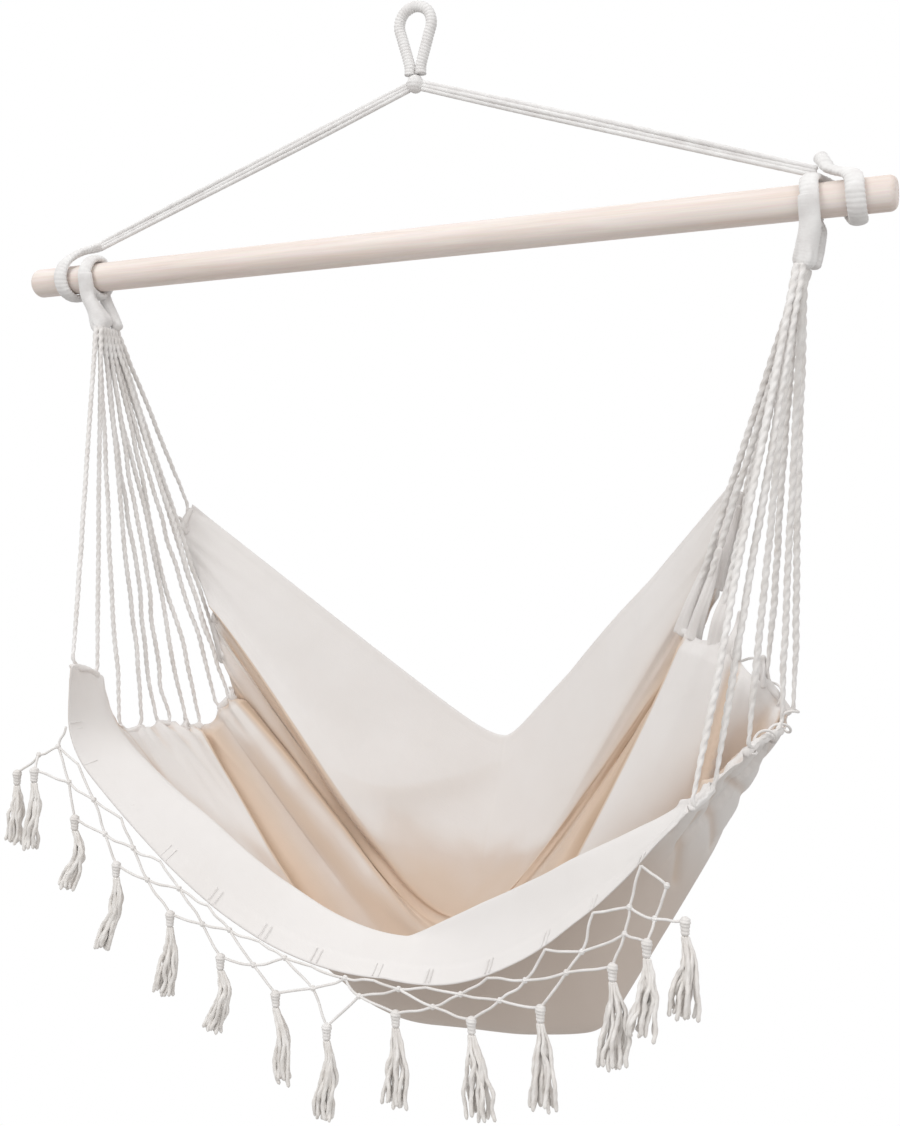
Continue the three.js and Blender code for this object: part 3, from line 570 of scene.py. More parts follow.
def sheet_point(across, down):
    """Places on the sheet: across from the left end (0) to the right (1), down from the
    back edge (0) to the front hem (1)."""
    across, down = np.broadcast_arrays(np.asarray(across, float), np.asarray(down, float))
    is_left = across < 0.5
    middle = spline(MIDDLES, down)
    end = np.where(is_left[..., None], spline(LEFT_ENDS, down), spline(RIGHT_ENDS, down))
    folds = spline(FOLDS, down)
    fold = np.where(is_left[..., None], folds[..., :2], folds[..., 2:])
    level = np.where(is_left, *np.moveaxis(spline(LEVELS, down), -1, 0))
    turn = np.maximum(np.where(is_left, *np.moveaxis(spline(TURNS, down), -1, 0)), 0.02)
    out = np.abs(2 * across - 1)
    lift = spline(FLAPS, down)
    rises = is_left & (lift[..., 2] > 0)
    part = np.where(rises, 1 - (1 - FLAP_START_SHARE) * soft_step(lift[..., 2] / FLAP_RISE), 1.0)
    main = np.minimum(out / part, 1)
    over = np.where(rises, np.maximum(out - part, 0) / np.maximum(1 - part, 0.001), 0)
    rise = ramp(main, level, turn)
    wave = np.sin(math.pi * main)
    x = middle[..., 0] + (end[..., 0] - middle[..., 0]) * main
    y = middle[..., 1] + (end[..., 1] - middle[..., 1]) * (main + rise) / 2 + fold[..., 0] * wave
    z = middle[..., 2] + (end[..., 2] - middle[..., 2]) * rise + fold[..., 1] * wave
    return np.stack([x, y, z], -1) + lift * over[..., None]


def outside(across, down, inwards, by):
    """A place just outside the sheet's edge."""
    place = sheet_point(across, down)
    inner = sheet_point(across + inwards[0], down + inwards[1])
    nudge = (EDGE_NUDGE, 0) if inwards[0] == 0 else (0, EDGE_NUDGE)
    before = sheet_point(max(across - nudge[0], 0), max(down - nudge[1], 0))
    after = sheet_point(min(across + nudge[0], 1), min(down + nudge[1], 1))
    along = unit(after - before)
    out = place - inner
    return place + unit(out - along * out.dot(along)) * by


def beyond(side, share, by):
    """A place just outside the sheet's left or right edge."""
    across, nudge = (0, EDGE_NUDGE) if side == "left" else (1, -EDGE_NUDGE)
    return outside(across, share, (nudge, 0), by)


def sheet_grid(columns, rows):
    """Points, upward normals and flat coordinates of the sheet on a grid."""
    across = np.linspace(0, 1, columns)[None, :]
    down = np.linspace(0, 1, rows)[:, None]
    points = sheet_point(across, down)
    side = np.gradient(points, axis=1)
    length = np.gradient(points, axis=0)
    normals = unit(np.cross(side, length))
    if normals[rows // 2, columns // 2, 2] < 0:
        normals = -normals
    run_side = np.cumsum(np.linalg.norm(side, axis=2), axis=1)
    run_side -= run_side[:, columns // 2][:, None]
    run_length = np.cumsum(np.linalg.norm(length, axis=2), axis=0)
    return points, normals, np.stack([run_side, run_length], -1)


def refined(values, shape):
    """Smooth values on a finer grid."""
    rows = spline(values, np.linspace(0, 1, shape[0]))
    return spline(rows.T, np.linspace(0, 1, shape[1])).T


def smooth_noise(shape, cells, seed):
    """Soft random relief on a grid, from -1 to 1, with so many cells each way."""
    values = np.random.default_rng(seed).uniform(-1, 1, (cells[0] + 3, cells[1] + 3))
    return refined(values, shape)


def grid_quads(rows, columns):
    """The four corners of each cell of a grid."""
    index = np.arange(rows * columns).reshape(rows, columns)
    return np.stack([index[:-1, :-1], index[:-1, 1:], index[1:, 1:], index[1:, :-1]], -1).reshape(-1, 4)


def blurred(grid, cells):
    """The mean of a grid over a square of so many cells to each side."""
    size = 2 * cells + 1
    for axis in (0, 1):
        widths = [(cells + 1, cells) if axis == at else (0, 0) for at in range(grid.ndim)]
        total = np.cumsum(np.pad(grid, widths, mode="reflect", reflect_type="odd"), axis=axis)
        after = np.take(total, np.arange(size, total.shape[axis]), axis)
        grid = (after - np.take(total, np.arange(total.shape[axis] - size), axis)) / size
    return grid


def edge_gathers(down, edge_run, side):
    """Small pleats that run inwards from where the cords pull on the casing."""
    relief = np.zeros_like(edge_run)
    rng = np.random.default_rng(11 if side == "left" else 12)
    for share in LANDING_SHARES[side]:
        for _ in range(2):
            width = rng.uniform(0.006, 0.013)
            height = rng.uniform(0.0015, 0.0035)
            reach = rng.uniform(0.02, 0.07)
            drift = rng.uniform(-0.35, 0.35)
            place = share + rng.uniform(-0.012, 0.012)
            offset = (down - place - drift * edge_run) / width
            relief += height * bell(offset, 1) * np.exp(-edge_run / reach)
            relief -= 0.6 * height * bell(offset - 1.6, 1) * np.exp(-edge_run / (0.7 * reach))
    return relief


def seat_folds(across, flat):
    """Ridges that are gentle on one side and drop steeply into a hollow on the other, and the
    painted shade on each place behind such a ridge, from 0 to 1."""
    rows, columns = across.shape
    relief, behind = np.zeros_like(across), np.zeros_like(across)
    for side, at_edge, further_in, start, inner, end, *widths, facing, shade, reach in SEAT_FOLDS:
        height, hollow, gentle, steep, reach = np.array([*widths, reach]) * MM
        out = across[0] if side == "left" else 1 - across[0]
        share = at_edge + (further_in - at_edge) * np.clip(out / inner, 0, 1)
        row = np.minimum((share * (rows - 1)).astype(int), rows - 2)
        part = share * (rows - 1) - row
        column = np.arange(columns)
        crest = flat[row, column, 1] * (1 - part) + flat[row + 1, column, 1] * part
        offset = (crest - flat[..., 1]) * facing
        sharp = bell(offset, steep)
        drop = height * sharp - hollow * (1 - sharp) * bell(offset, 0.45 * gentle)
        profile = np.where(offset > 0, height * bell(offset, gentle), drop)
        edge = np.abs(flat[..., 0] - (flat[:, :1, 0] if side == "left" else flat[:, -1:, 0]))
        held = soft_step((end - out) / (0.5 * (end - start))) * soft_step(edge / 0.02)
        held = held * (soft_step((out - start) / 0.15) if start else 1)
        relief += profile * held
        # Painted shade on the cloth behind each ridge, where its shadow falls
        behind = np.maximum(behind, shade * held * bell(offset, np.where(offset < 0, reach, 0.0015)))
    return relief, behind


def creases(across, down):
    """How near each place of the sheet lies to a crease of its outer side, 0 to 1."""
    place = np.stack([across, down], -1) * FLAT_SIZE
    near = np.zeros_like(across)
    for line in CREASES:
        points = np.array(line) * FLAT_SIZE
        for start, end in zip(points, points[1:]):
            run = end - start
            share = np.clip(((place - start) @ run) / (run @ run), 0, 1)
            gap = np.linalg.norm(place - start - share[..., None] * run, axis=-1)
            near = np.maximum(near, bell(gap, CREASE_WIDTH))
    return near


def closed_in(points, normals, step=4, reach=0.22, count=64):
    """How much of the view outwards from each point the sheet itself blocks, 0 to 1: read
    at every so many points, within a reach, along a count of ways."""
    coarse, upwards = points[::step, ::step], normals[::step, ::step]
    rows, columns = coarse.shape[:2]
    tree = BVHTree.FromPolygons(coarse.reshape(-1, 3).tolist(), grid_quads(rows, columns).tolist())
    turn = np.arange(count) * GOLDEN_TURN
    height = 1 - 2 * (np.arange(count) + 0.5) / count
    flatness = np.sqrt(1 - height**2)
    ways = np.stack([flatness * np.cos(turn), flatness * np.sin(turn), height], 1)
    blocked = np.zeros(rows * columns)
    for at, (place, normal) in enumerate(zip(coarse.reshape(-1, 3), upwards.reshape(-1, 3))):
        facing = ways @ normal
        start = Vector(place + normal * 0.002)
        open_ways = np.flatnonzero(facing > 0.1)
        for way in open_ways:
            if tree.ray_cast(start, Vector(ways[way]), reach)[0] is not None:
                blocked[at] += facing[way]
        blocked[at] /= facing[open_ways].sum()
    return refined(blocked.reshape(rows, columns), points.shape)


def slack(down, side):
    """How far the bare edge between two cords hangs back from the line of the casings."""
    shares = LANDING_SHARES[side]
    sag = np.zeros_like(down)
    for before, after in zip(shares[1:-1:2], shares[2::2]):
        within = np.clip((down - before) / (after - before), 0, 1)
        sag += np.sin(math.pi * within) * min(0.09 * (after - before), 0.012)
    return sag


def small_relief(down, flat, runs):
    """Waves all over, pleats at the side edges and the steps of the hems."""
    waves = [height * smooth_noise(down.shape, cells, seed) for height, cells, seed in CLOTH_WAVES]
    relief = sum(waves) + sum(edge_gathers(down, runs[side], side) for side in SIDES)
    for edge, width in HEMS.items():
        groove = 0.5 * bell(runs[edge] - width, 0.0016)
        relief += HEM_HEIGHT * (soft_step((width - runs[edge]) / HEM_EDGE) - groove)
    return relief + BACK_HEM_HEIGHT * soft_step((BACK_HEM - flat[..., 1]) / HEM_EDGE)


def painted_shade(shifted, normals, across, down, bowl, streaks, behind):
    """Painted shade for each place, from 0 to 1, tan where it stands for warm bounced light: more
    where the sheet round it closes it in, in a crease, in the bowl and behind a fold."""
    crease = ((blurred(shifted, 5) - shifted) * normals).sum(-1) / 0.0022
    closed = 0.75 * (blurred(closed_in(shifted, normals), 3) - 0.14) / 0.55
    closed *= 1 - 0.55 * soft_step((across - 0.72) / 0.08) * soft_step((down - 0.50) / 0.04)
    hollow = closed + np.clip(0.2 * crease, 0, 0.2) + (0.13 + 0.05 * streaks) * bowl
    hollow = np.clip(hollow, 0, 0.7)
    return hollow + behind * (0.9 - hollow)


def shell(upper, lower):
    """Points and faces of a sheet between two grids, closed round its rim."""
    rows, columns = upper.shape[:2]
    count = rows * columns
    index = np.arange(count).reshape(rows, columns)
    quads = grid_quads(rows, columns)
    rim = np.concatenate([index[0], index[1:, -1], index[-1, -2::-1], index[-2:0:-1, 0]])
    after = np.roll(rim, -1)
    edge = np.stack([after, rim, rim + count, after + count], -1)
    faces = np.concatenate([quads, quads[:, [0, 3, 2, 1]] + count, edge]).tolist()
    return np.concatenate([upper.reshape(-1, 3), lower.reshape(-1, 3)]), faces


def hammock_cloth():
    """The whole sheet as one closed piece, with its painted shade and the run of its weave."""
    points, normals, flat = sheet_grid(CLOTH_GRID, CLOTH_GRID)
    shares = np.linspace(0, 1, CLOTH_GRID)
    down, across = np.meshgrid(shares, shares, indexing="ij")
    runs = {"left": flat[..., 0] - flat[:, :1, 0], "right": flat[:, -1:, 0] - flat[..., 0],
            "front": flat[-1:, :, 1] - flat[..., 1]}
    # The folds' relief, and the painted shade behind their ridges
    folds, behind = seat_folds(across, flat)
    outer = creases(across, down)
    # Where the painted tan shade of the bowl lies
    line = np.interp(across, *zip(*BOWL_SHADE_LINE))
    bowl = soft_step((down - line) / 0.07) * soft_step((0.58 - down) / 0.12)
    streaks = smooth_noise(down.shape, (34, 5), 5)
    relief = small_relief(down, flat, runs) + folds + CREASE_HEIGHT * outer + STREAK_HEIGHT * streaks * bowl
    shifted = points + normals * relief[..., None]
    for side, edge, inner in (("left", 0, 12), ("right", -1, -13)):
        inwards = unit(points[:, inner] - points[:, edge])[:, None]
        shifted += inwards * (slack(down, side) * np.exp(-runs[side] / 0.025))[..., None]
    corner = soft_step((0.24 - across) / 0.08) * soft_step((down - 0.80) / 0.06)
    shifted += (blurred(shifted, 11) - shifted) * (corner * soft_step(runs["left"] / 0.03))[..., None]
    # Painted shade on the inner side, tan in its hollows, creases, bowl and behind the folds
    hollow = painted_shade(shifted, normals, across, down, bowl, streaks, behind)
    # Painted shade on the outer side: darker towards the bottom and front, lighter on the lit outer wall at
    # the right, darker in its creases
    under = 0.12 + 0.17 * soft_step((down - 0.35) / 0.3)
    under *= 1 - 0.75 * soft_step((across - 0.84) / 0.10)
    under += CREASE_PAINTED_SHADE * outer**2
    half = normals * CLOTH_THICKNESS / 2
    made = piece("canvas_seat", shell(shifted + half, shifted - half), canvas, "seat",
                 ["hammock_cloth"], np.concatenate([hollow.ravel(), under.ravel()]))
    layer = made.data.uv_layers.new(name="flat")
    corners = np.zeros(len(made.data.loops), int)
    made.data.loops.foreach_get("vertex_index", corners)
    layer.data.foreach_set("uv", np.tile(flat.reshape(-1, 2), (2, 1))[corners].ravel())
    return made


def casing(side, index):
    """One stretch of the casing, gathered on the cord that runs through it."""
    down, up = LANDING_SHARES[side][2 * index : 2 * index + 2]
    rng = np.random.default_rng(60 + index + (20 if side == "right" else 0))
    shares = np.linspace(max(down - 0.004, 0), min(up + 0.004, 1), 12)
    path = even([beyond(side, share, 0.0004) for share in shares], 0.0012)
    run = lengths(path)
    ripples = spline(rng.uniform(-1, 1, (max(int(len(path) / 5), 4), 1)), run / run[-1])[:, 0]
    ends = (0.62 + 0.38 * rounded(run, 0.010, 0.010)) * rounded(run, 0.003, 0.003)

    def ridges(turn, run):
        return 1 + 0.10 * np.cos(3 * turn + run / 0.006)

    return tube(path, (0.0042 + 0.0007 * ripples) * ends, 18, ridges, 0.85)


def tab(side, share, height, width):
    """A strip of the edge's cloth drawn up round the cords."""
    low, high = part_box(f"neck_{side}")
    foot = beyond(side, share, -0.006)
    way = unit(np.array([(low.x + high.x) / 2, (low.y + high.y) / 2, low.z]) - foot) * height
    bow = np.array([0.0, 0.003, 0.0])
    path = even([foot, foot + way * 0.35 - bow, foot + way * 0.7 + bow, foot + way], 0.0015)
    run = lengths(path)
    up = run / run[-1]
    narrowing = (1 - 0.62 * soft_step(up * 1.05)) * (1 + 0.05 * np.sin(9 * up + share * 40))

    def pleats(turn, run):
        return 1 + 0.20 * np.cos(3 * turn + 25 * run + share * 30) + 0.10 * np.cos(7 * turn - 30 * run)

    return tube(path, width / 2 * narrowing * rounded(run, 0.002, 0.004), 24, pleats, 0.6)


seat = hammock_cloth()
for side_name in SIDES:
    for number in range(1, CORDS + 1):
        piece(f"casing_{side_name}_{number}", casing(side_name, number - 1), canvas, "seat")
    for number, tab_form in enumerate(TABS[side_name], 1):
        piece(f"tab_{side_name}_{number}", tab(side_name, *tab_form), canvas, "seat")


# Suspension cords

def straight(start, end, reach, seed):
    """A taut run that still wavers a little, more in its lower half."""
    rng = np.random.default_rng(seed)
    share = np.linspace(0, 1, 46)
    hold = soft_step(share / 0.12) * soft_step((1 - share) / 0.10) * (0.35 + 0.65 * share)
    slow = spline(rng.uniform(-1, 1, (6, 3)), share)
    quick = spline(rng.uniform(-1, 1, (17, 3)), share)
    path = start + (end - start) * share[:, None]
    return path + (slow + 0.45 * quick) * (hold * reach)[:, None]


def neck_ends(side):
    """The heights of a neck's top and bottom, and where its foot stands (x, y)."""
    low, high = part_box(f"neck_{side}")
    length = high.z - low.z
    share = NECK_FOOT_SHARES[side]
    return high.z, low.z, HITCH_PLACE[side] + share[0] * length, share[1] * length


def suspension_cord(side, index):
    """From the neck down to the casing, along it and back up, as the frame's own cord."""
    _, bottom, foot_x, foot_y = neck_ends(side)
    shares = LANDING_SHARES[side]

    def foot(slot):
        column = 1 if slot % 2 == 0 else -1
        row = (len(shares) - 1) / 2 - slot
        return np.array([foot_x + column * CORD_PITCH / 2, foot_y + row * CORD_GAP, bottom + 0.004])

    def lean(share):
        run = beyond(side, share, CASING_STANDOFF) - foot(2 * index)
        return run / -run[2]

    def leg(place, inner, share, foothold):
        """The turn out of the casing towards a foothold: a hairpin where it is sharp."""
        along = unit(place - inner)
        corner = beyond(side, share, CASING_STANDOFF)
        turned = []
        if -unit(foothold - place).dot(along) > HAIRPIN_SHARE:
            out = unit(beyond(side, share, 2 * CASING_STANDOFF) - corner)
            corner = place + out * HAIRPIN_WIDTH
            turned = [place + (out + along) * HAIRPIN_WIDTH / 2, corner]
        return turned, corner + unit(foothold - corner) * CASING_TURN

    down, up = shares[2 * index : 2 * index + 2]
    start, end = foot(2 * index), foot(2 * index + 1)
    if (lean(down) - lean(up)).dot(start - end) < 0:
        start, end = end, start
    held = [beyond(side, down + (up - down) * stop, CASING_STANDOFF) for stop in CASING_STOP_SHARES]
    falling, fall_foot = leg(held[0], held[1], down, start)
    rising, rise_foot = leg(held[-1], held[-2], up, end)
    reach, seed = CORD_WAVER[side][index], 10 * index + (100 if side == "left" else 200)
    fall = straight(start, fall_foot, reach, seed)
    rise = straight(end, rise_foot, reach, seed + 1)[::-1]
    route = np.concatenate([fall, even([*falling[::-1], *held, *rising], 0.003), rise])
    run = lengths(route)
    path = even(route, 0.0013)
    at = np.linspace(0, run[-1], len(path))
    free = np.maximum(run[len(fall) - 1] - at, at - run[-len(rise)])
    radius = CORD_THIN + (CORD_FULL[side] - CORD_THIN) * soft_step(free / 0.07)
    radius += 0.0006 * (1 - soft_step(np.minimum(at, run[-1] - at) / 0.05))
    return tube(path, radius, 12, laid(*LAYS[side]))


for side_name in SIDES:
    for number in range(1, CORDS + 1):
        piece(f"line_{side_name}_{number}", suspension_cord(side_name, number - 1), cord, "seat",
              [f"cord_{side_name}_{number}"])


# Rope work above the seat

def eye_path():
    """The eye's rope: up one leg, over the top in a teardrop, down the other."""
    low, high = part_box("hanging_eye")
    radius = EYE_ROPE / 2
    outer = high.x - radius
    leg = radius + CLEARANCE
    half = [
        (leg, 0, low.z),
        (leg, 0, low.z + 0.008),
        (leg + outer * 0.1, 0, low.z + 0.016),
        (outer * 0.8, 0, -EYE_DROP * 0.55),
        (outer, 0, radius - outer),
        (outer * 0.72, 0, radius - outer * 0.3),
    ]
    other = [(-x, y, z) for x, y, z in reversed(half)]
    return even([*half, (0, 0, radius), *other], 0.0006)


def away(path):
    """The way from the bar's axis to each point of a path."""
    return path * [0, 1, 1] - [0, 0, BAR_Z]


def on_bar(side, degrees, along=0.0, outwards=0.0):
    """A place in the rope round the bar, in the terms of the hitches' tables."""
    turn = math.radians(degrees)
    distance = WRAP_DISTANCE + outwards * HITCH_DEPTH
    x = HITCH_PLACE[side] + along * HITCH_WIDTH
    return np.array([x, -distance * math.sin(turn), BAR_Z + distance * math.cos(turn)])


def hitch(side):
    """The flat whipped rope wound round the bar. On the right it starts in a knob."""
    path = even([on_bar(side, *share) for share in HITCH_SHARES[side]], 0.0007)
    run = lengths(path)
    knob = (1 - soft_step(run / 0.026)) if side == "right" else 0 * run
    width = HITCH_WIDTH - 0.0035 * knob
    depth = HITCH_DEPTH + 0.0045 * knob
    radius = width / 2 * rounded(run, 0.004, 0.003)
    return tube(path, radius, 32, whipped(*WHIPPING["hitch"]), depth / width, away(path))


def ball(centre, radius, form, sides=20):
    """A round knot: a short tube whose radius follows a ball's outline."""
    share = np.linspace(0, math.pi, 25)
    path = np.array(centre) + np.stack([0 * share, 0 * share, -np.cos(share) * radius], 1)
    reach = np.maximum(np.sin(share) * radius, radius * 0.03)
    return tube(path, reach, sides, form)


def bridle(side):
    """Three cords side by side from the knot to the hitch."""
    start = np.array([0, 0, KNOT_Z])
    end = on_bar(side, 0, *BRIDLE_END_SHARES[side])
    along = unit(end - start)
    up = np.array([abs(along[2]) * math.copysign(1, along[0]), 0, abs(along[0])])
    end = end + along * BRIDLE_TUCK[side] - up * BRIDLE_DROP[side]
    first = start + along * (KNOT_RADIUS * 0.8)
    parts = []
    for cord_row in (-1, 0, 1):
        rise = up * cord_row * BRIDLE_CORD * 0.86
        bow = np.array([0, (0.0008 if cord_row else -0.0008), 0])
        points = [first + rise * 0.8, first + (end - first) * 0.3 + rise + bow,
                  first + (end - first) * 0.7 + rise - bow, end + rise * 0.8]
        path = even(points, 0.0011)
        radius = BRIDLE_CORD / 2 * 1.02 * rounded(lengths(path), 0, 0.003)
        parts.append(tube(path, radius, 14, laid(*LAYS["bridle"])))
    return joined(parts)


def neck(side):
    """The bound neck: a smooth strand that runs on from the hitch's front turn and widens
    down to the cords, and a braided strand that comes from behind the bar and ends there."""
    top, bottom, foot_x, foot_y = neck_ends(side)
    place = HITCH_PLACE[side]

    def between(share, y, x=0.0):
        return np.array([place + (foot_x - place) * share + x, y, top + (bottom - top) * share])

    front = even([*(on_bar(side, degrees) for degrees in (84, 98, 112)), between(-0.02, -0.0145),
                  between(0.35, -0.0105), between(0.7, foot_y - 0.003),
                  (foot_x, foot_y, bottom + 0.002)], 0.0008)
    run = lengths(front)
    share = np.linspace(0, 1, len(front))
    width = np.interp(share, [0, 0.35, 0.7, 1], [0.0196, 0.0202, 0.0218, 0.0236])
    depth = np.interp(share, [0, 0.30, 0.65, 1], [0.0099, 0.0110, 0.0200, 0.0330])

    def bound(turn, at):
        strands = soft_step((at - run[-1] + 0.030) / 0.028) * (1 - np.abs(np.cos(3.5 * turn)))
        return whipped(*WHIPPING["neck"])(turn, at) - 0.16 * strands

    smooth = tube(front, width / 2 * rounded(run, 0.0012, 0.011), 42, bound, depth / width, away(front))
    back = even([*(on_bar(side, degrees) for degrees in (252, 236, 220)), between(0.0, 0.0125, 0.004),
                 between(0.45, 0.0115, 0.006), (foot_x + 0.0075, foot_y + 0.0120, bottom + 0.004)], 0.0008)
    radius = 0.0072 * rounded(lengths(back), 0.003, 0.004)
    return joined([smooth, tube(back, radius, 28, braided(5, 0.011, 0.22), 0.82, away(back))])


piece("eye", tube(eye_path(), EYE_ROPE / 2, 20, whipped(*WHIPPING["eye"])), rope, "eye",
      ["hanging_eye"])
piece("knot", ball((0, 0, KNOT_Z), KNOT_RADIUS, whipped(*WHIPPING["knot"])), rope, "swivel",
      ["bridle_knot"])
for side_name in SIDES:
    piece(f"bridle_{side_name}", bridle(side_name), rope, "bridle", [f"bridle_rope_{side_name}"])
    piece(f"wrap_{side_name}", hitch(side_name), rope, "bridle", [f"hitch_{side_name}"])
    piece(f"throat_{side_name}", neck(side_name), rope, "seat", [f"neck_{side_name}"])


def bar():
    """The dowel: a fine turned profile with rounded ends."""
    half = (BAR_HIGH.x - BAR_LOW.x) / 2
    round_end = 0.007
    turn = np.linspace(0, math.pi / 2, 10)
    end_x = -half + round_end - round_end * np.cos(turn)
    end_r = BAR_RADIUS - round_end + round_end * np.sin(turn)
    body_x = np.linspace(-half + round_end, half - round_end, 120)[1:-1]
    body_r = np.full(len(body_x), BAR_RADIUS)
    xs = np.concatenate([[-half], end_x, body_x, -end_x[::-1], [half]])
    rs = np.concatenate([[0.0005], end_r, body_r, end_r[::-1], [0.0005]])
    xs = xs + (BAR_HIGH.x + BAR_LOW.x) / 2 + np.linspace(0, 1e-6, len(xs))
    return tube(np.stack([xs, 0 * xs, BAR_Z + 0 * xs], 1), rs, 64)


piece("dowel", bar(), wood, "bridle", ["spreader_bar"])


# Fringe

def net_knots(shares, row, steps=0):
    """Places of a row of knots. Each of its steps sets a knot further forwards."""
    places = in_place([(x, -1, z) for x, z in shares])
    places[:, 1] -= HEM_STANDOFF + (row + np.asarray(steps)) * NET_ROW_STEP
    return places


stitches = np.array([outside(share, 1, (0, -EDGE_NUDGE), HEM_STANDOFF) for share in STITCH_SHARES])
upper_knots = net_knots(UPPER_KNOT_SHARES, 0)
lower_knots = net_knots(LOWER_KNOT_SHARES, 1)
tassel_knots = net_knots(TASSEL_SHARES, 2, TASSEL_STEPS)


def net_runs():
    """Pairs of places that a net cord joins."""
    runs = []
    for index, knot in enumerate(upper_knots):
        runs += [(stitch, knot) for stitch in stitches[index : index + 2]]
        runs += [(knot, lower) for lower in lower_knots[index : index + 2]]
    for index, knot in enumerate(lower_knots):
        runs += [(knot, tassel) for tassel in tassel_knots[index : index + 2]]
    return runs


def fringe_net():
    rng = np.random.default_rng(21)
    parts = []
    for start, end in net_runs():
        sag = rng.uniform(-0.0012, 0.0012, (2, 3)) + np.array([0, 0, -0.0008])
        points = [start, start + (end - start) * 0.33 + sag[0], start + (end - start) * 0.67 + sag[1], end]
        parts.append(tube(even(points, 0.0009), NET_CORD / 2, 10, laid(*LAYS["net"])))
    for place in [*upper_knots, *lower_knots]:
        parts.append(ball(place, NET_KNOT / 2, whipped(*WHIPPING["net"]), 14))
    return joined(parts)


def tassel_head(knot, index):
    """The net's two cords tied round the top of a tassel."""
    lean = TASSEL_FORMS[index][0] * MM
    places = [knot + np.array([0, 0, 0.0035]), knot + np.array([0, 0, -0.004]),
              knot + np.array([lean * 0.05, 0, -0.014])]
    path = even(places, 0.0005)
    run = lengths(path)
    radius = 0.0040 + 0.0012 * bell(run - 0.0045, 0.004)
    return tube(path, radius * rounded(run, 0.004, 0.003), 18, whipped(*WHIPPING["tassel"]))


def tassel_strands(knot, index):
    lean, length, spread, curl = np.array(TASSEL_FORMS[index]) * MM
    rng = np.random.default_rng(40 + index)
    top = knot[2] - NET_KNOT / 2 - 0.010
    parts = []
    share = np.linspace(0, 1, 22)
    for strand in range(TASSEL_STRANDS):
        angle = strand * GOLDEN_TURN + rng.uniform(-0.2, 0.2)
        out = math.sqrt((strand + 0.5) / TASSEL_STRANDS)
        head = 0.0030 * out
        foot = spread / 2 * out * rng.uniform(0.8, 1.05)
        reach = head + (foot - head) * soft_step(share * 1.15) ** 0.8
        long = (length - 0.012) * rng.uniform(0.9, 1.0)
        wave = spline(rng.uniform(-1, 1, (7, 2)), share) * 0.0022 * soft_step(share * 3)[:, None]
        bend = curl * np.sin(share * math.pi * 1.5)
        x = knot[0] + reach * math.cos(angle) + lean * share**1.4 + bend + wave[:, 0]
        y = knot[1] + reach * math.sin(angle) * 0.8 + wave[:, 1]
        z = top - long * share
        path = even(np.stack([x, y, z], 1), 0.0014)
        radius = np.interp(lengths(path), [0, 0.03], [0.0013, 0.0021]) * rounded(lengths(path), 0, 0.003)
        parts.append(tube(path, radius, 10, laid(*LAYS["tassel"])))
    return joined(parts)


piece("net", fringe_net(), cord, "seat", ["fringe_net"])
for tassel_index, tassel_knot in enumerate(tassel_knots):
    number = f"{tassel_index + 1:02d}"
    piece(f"strands_{number}", tassel_strands(tassel_knot, tassel_index), tassel_cotton,
          f"tassel_{number}", [f"tassel_{number}"])
    piece(f"head_{number}", tassel_head(tassel_knot, tassel_index), cord, f"tassel_{number}")


def stitch_marks():
    """Two short threads up the lip over each place where the net is sewn on."""
    parts = []
    for share in STITCH_SHARES:
        for beside in (-0.0035, 0.0035):
            places = []
            for back in np.linspace(0.002, 0.019, 7):
                place = sheet_point(share + beside, 1 - back)
                side = sheet_point(share + beside + 0.01, 1 - back) - place
                length = sheet_point(share + beside, 1 - back - 0.01) - place
                up = np.cross(side, length)
                up *= math.copysign(1, up[2]) / np.linalg.norm(up)
                places.append(place + up * 0.0021)
            parts.append(tube(even(places, 0.0016), 0.00045, 6, laid(*LAYS["stitch"])))
    return joined(parts)


def lashing():
    """The loose cord wound round the gathered edge at the front right."""
    share = np.linspace(0, 1, 150)
    middle = np.array([beyond("right", 0.60 + 0.21 * at, 0.002) for at in share])
    rng = np.random.default_rng(77)
    outwards, aside = frames(middle)
    turn = TURN * (6.5 * share + 0.35 * spline(rng.uniform(-1, 1, (8, 1)), share)[:, 0])
    reach = 0.0070 + 0.0014 * spline(rng.uniform(-1, 1, (14, 1)), share)[:, 0]
    ring = np.cos(turn)[:, None] * outwards + np.sin(turn)[:, None] * aside
    return tube(even(middle + ring * reach[:, None], 0.001), NET_CORD / 2, 8, laid(*LAYS["net"]))


piece("stitches", stitch_marks(), thread, "seat")
piece("lashing", lashing(), cord, "seat")


# Stage, light and camera

def camera():
    data = bpy.data.cameras.new("camera")
    data.lens = CAMERA_LENS
    data.sensor_width = 36
    data.shift_y = CAMERA_SHIFT
    made = put("camera", data)
    made.location = CAMERA_PLACE
    made.rotation_euler = CAMERA_VIEW.to_track_quat("-Z", "Y").to_euler()
    bpy.context.scene.camera = made


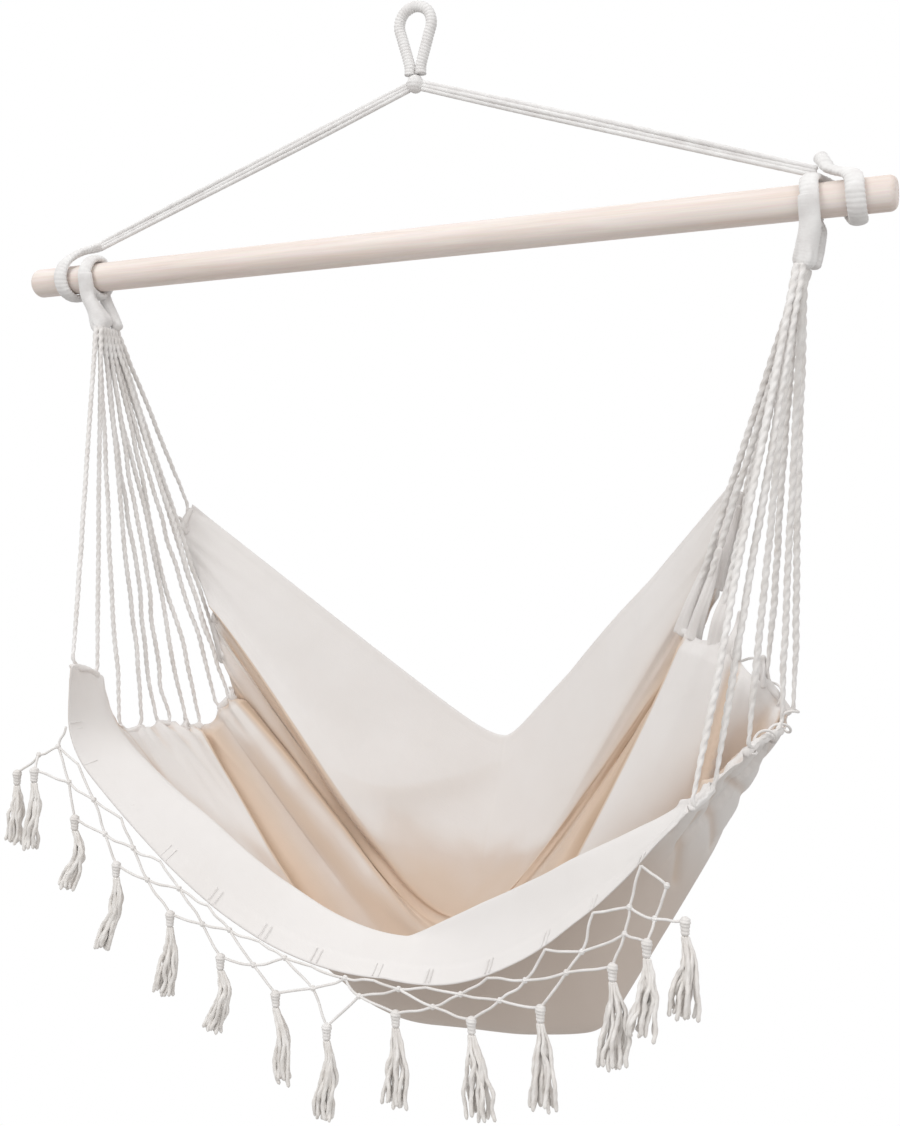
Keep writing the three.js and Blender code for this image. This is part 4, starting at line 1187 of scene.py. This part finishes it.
def seen_rays(tree):
    """1 for a ray from the camera, a reflection or a clear surface, otherwise 0."""
    rays = node(tree, "LightPath")
    one, any_of_them = (node(tree, "Math", operation="MAXIMUM") for _ in range(2))
    wire(tree, (rays, "Is Camera Ray", one, 0), (rays, "Is Glossy Ray", one, 1), (one, 0, any_of_them, 0),
         (rays, "Is Transmission Ray", any_of_them, 1))
    return any_of_them


def stage_material():
    """A pale floor, white to the eye."""
    material, tree, shader = surface("floor", Base_Color=(0.50, 0.49, 0.48, 1), Roughness=0.9)
    white = node(tree, "Emission", Strength=1.0)
    mix = node(tree, "MixShader")
    wire(tree, (seen_rays(tree), 0, mix, 0), (shader, 0, mix, 1), (white, 0, mix, 2),
         (mix, 0, tree.nodes["Material Output"], "Surface"))
    return material


def floor():
    mesh = bpy.data.meshes.new("floor")
    corners = [(x * FLOOR_REACH, y * FLOOR_REACH, FLOOR_Z) for x, y in ((-1, -1), (1, -1), (1, 1), (-1, 1))]
    mesh.from_pydata(corners, [], [(0, 1, 2, 3)])
    mesh.materials.append(stage_material())
    put("floor", mesh)


def lamp(name, place, target, size, power):
    data = bpy.data.lights.new(name, "AREA")
    data.shape = "SQUARE"
    data.size = size
    data.energy = power
    made = put(name, data)
    made.location = place
    made.rotation_euler = (Vector(target) - Vector(place)).to_track_quat("-Z", "Y").to_euler()


def world():
    """White to the eye; its light is stronger from above than from below."""
    made = bpy.data.worlds.new("world")
    made.use_nodes = True
    tree = made.node_tree
    background = tree.nodes["Background"]
    background.inputs["Color"].default_value = (1, 1, 1, 1)
    place = node(tree, "TexCoord")
    parts = node(tree, "SeparateXYZ")
    light = node(tree, "MapRange", From_Min=-0.6, From_Max=0.7, To_Min=0.08, To_Max=0.92)
    strength = node(tree, "Mix", data_type="FLOAT", B=1.0)
    wire(tree, (place, "Generated", parts, "Vector"), (parts, "Z", light, "Value"),
         (seen_rays(tree), 0, strength, "Factor"), (light, "Result", strength, "A"),
         (strength, "Result", background, "Strength"))
    bpy.context.scene.world = made


camera()
floor()
world()
lamp("key", (-0.9, -2.3, 1.4), (0.0, 0.0, -0.75), 1.6, 36)
lamp("fill", (1.9, -1.6, 0.4), (0.0, 0.0, -0.7), 1.6, 14)
lamp("back", (0.3, 2.4, 1.2), (0.0, 0.0, -0.7), 1.8, 8)
bpy.context.scene.view_settings.view_transform = "Standard"
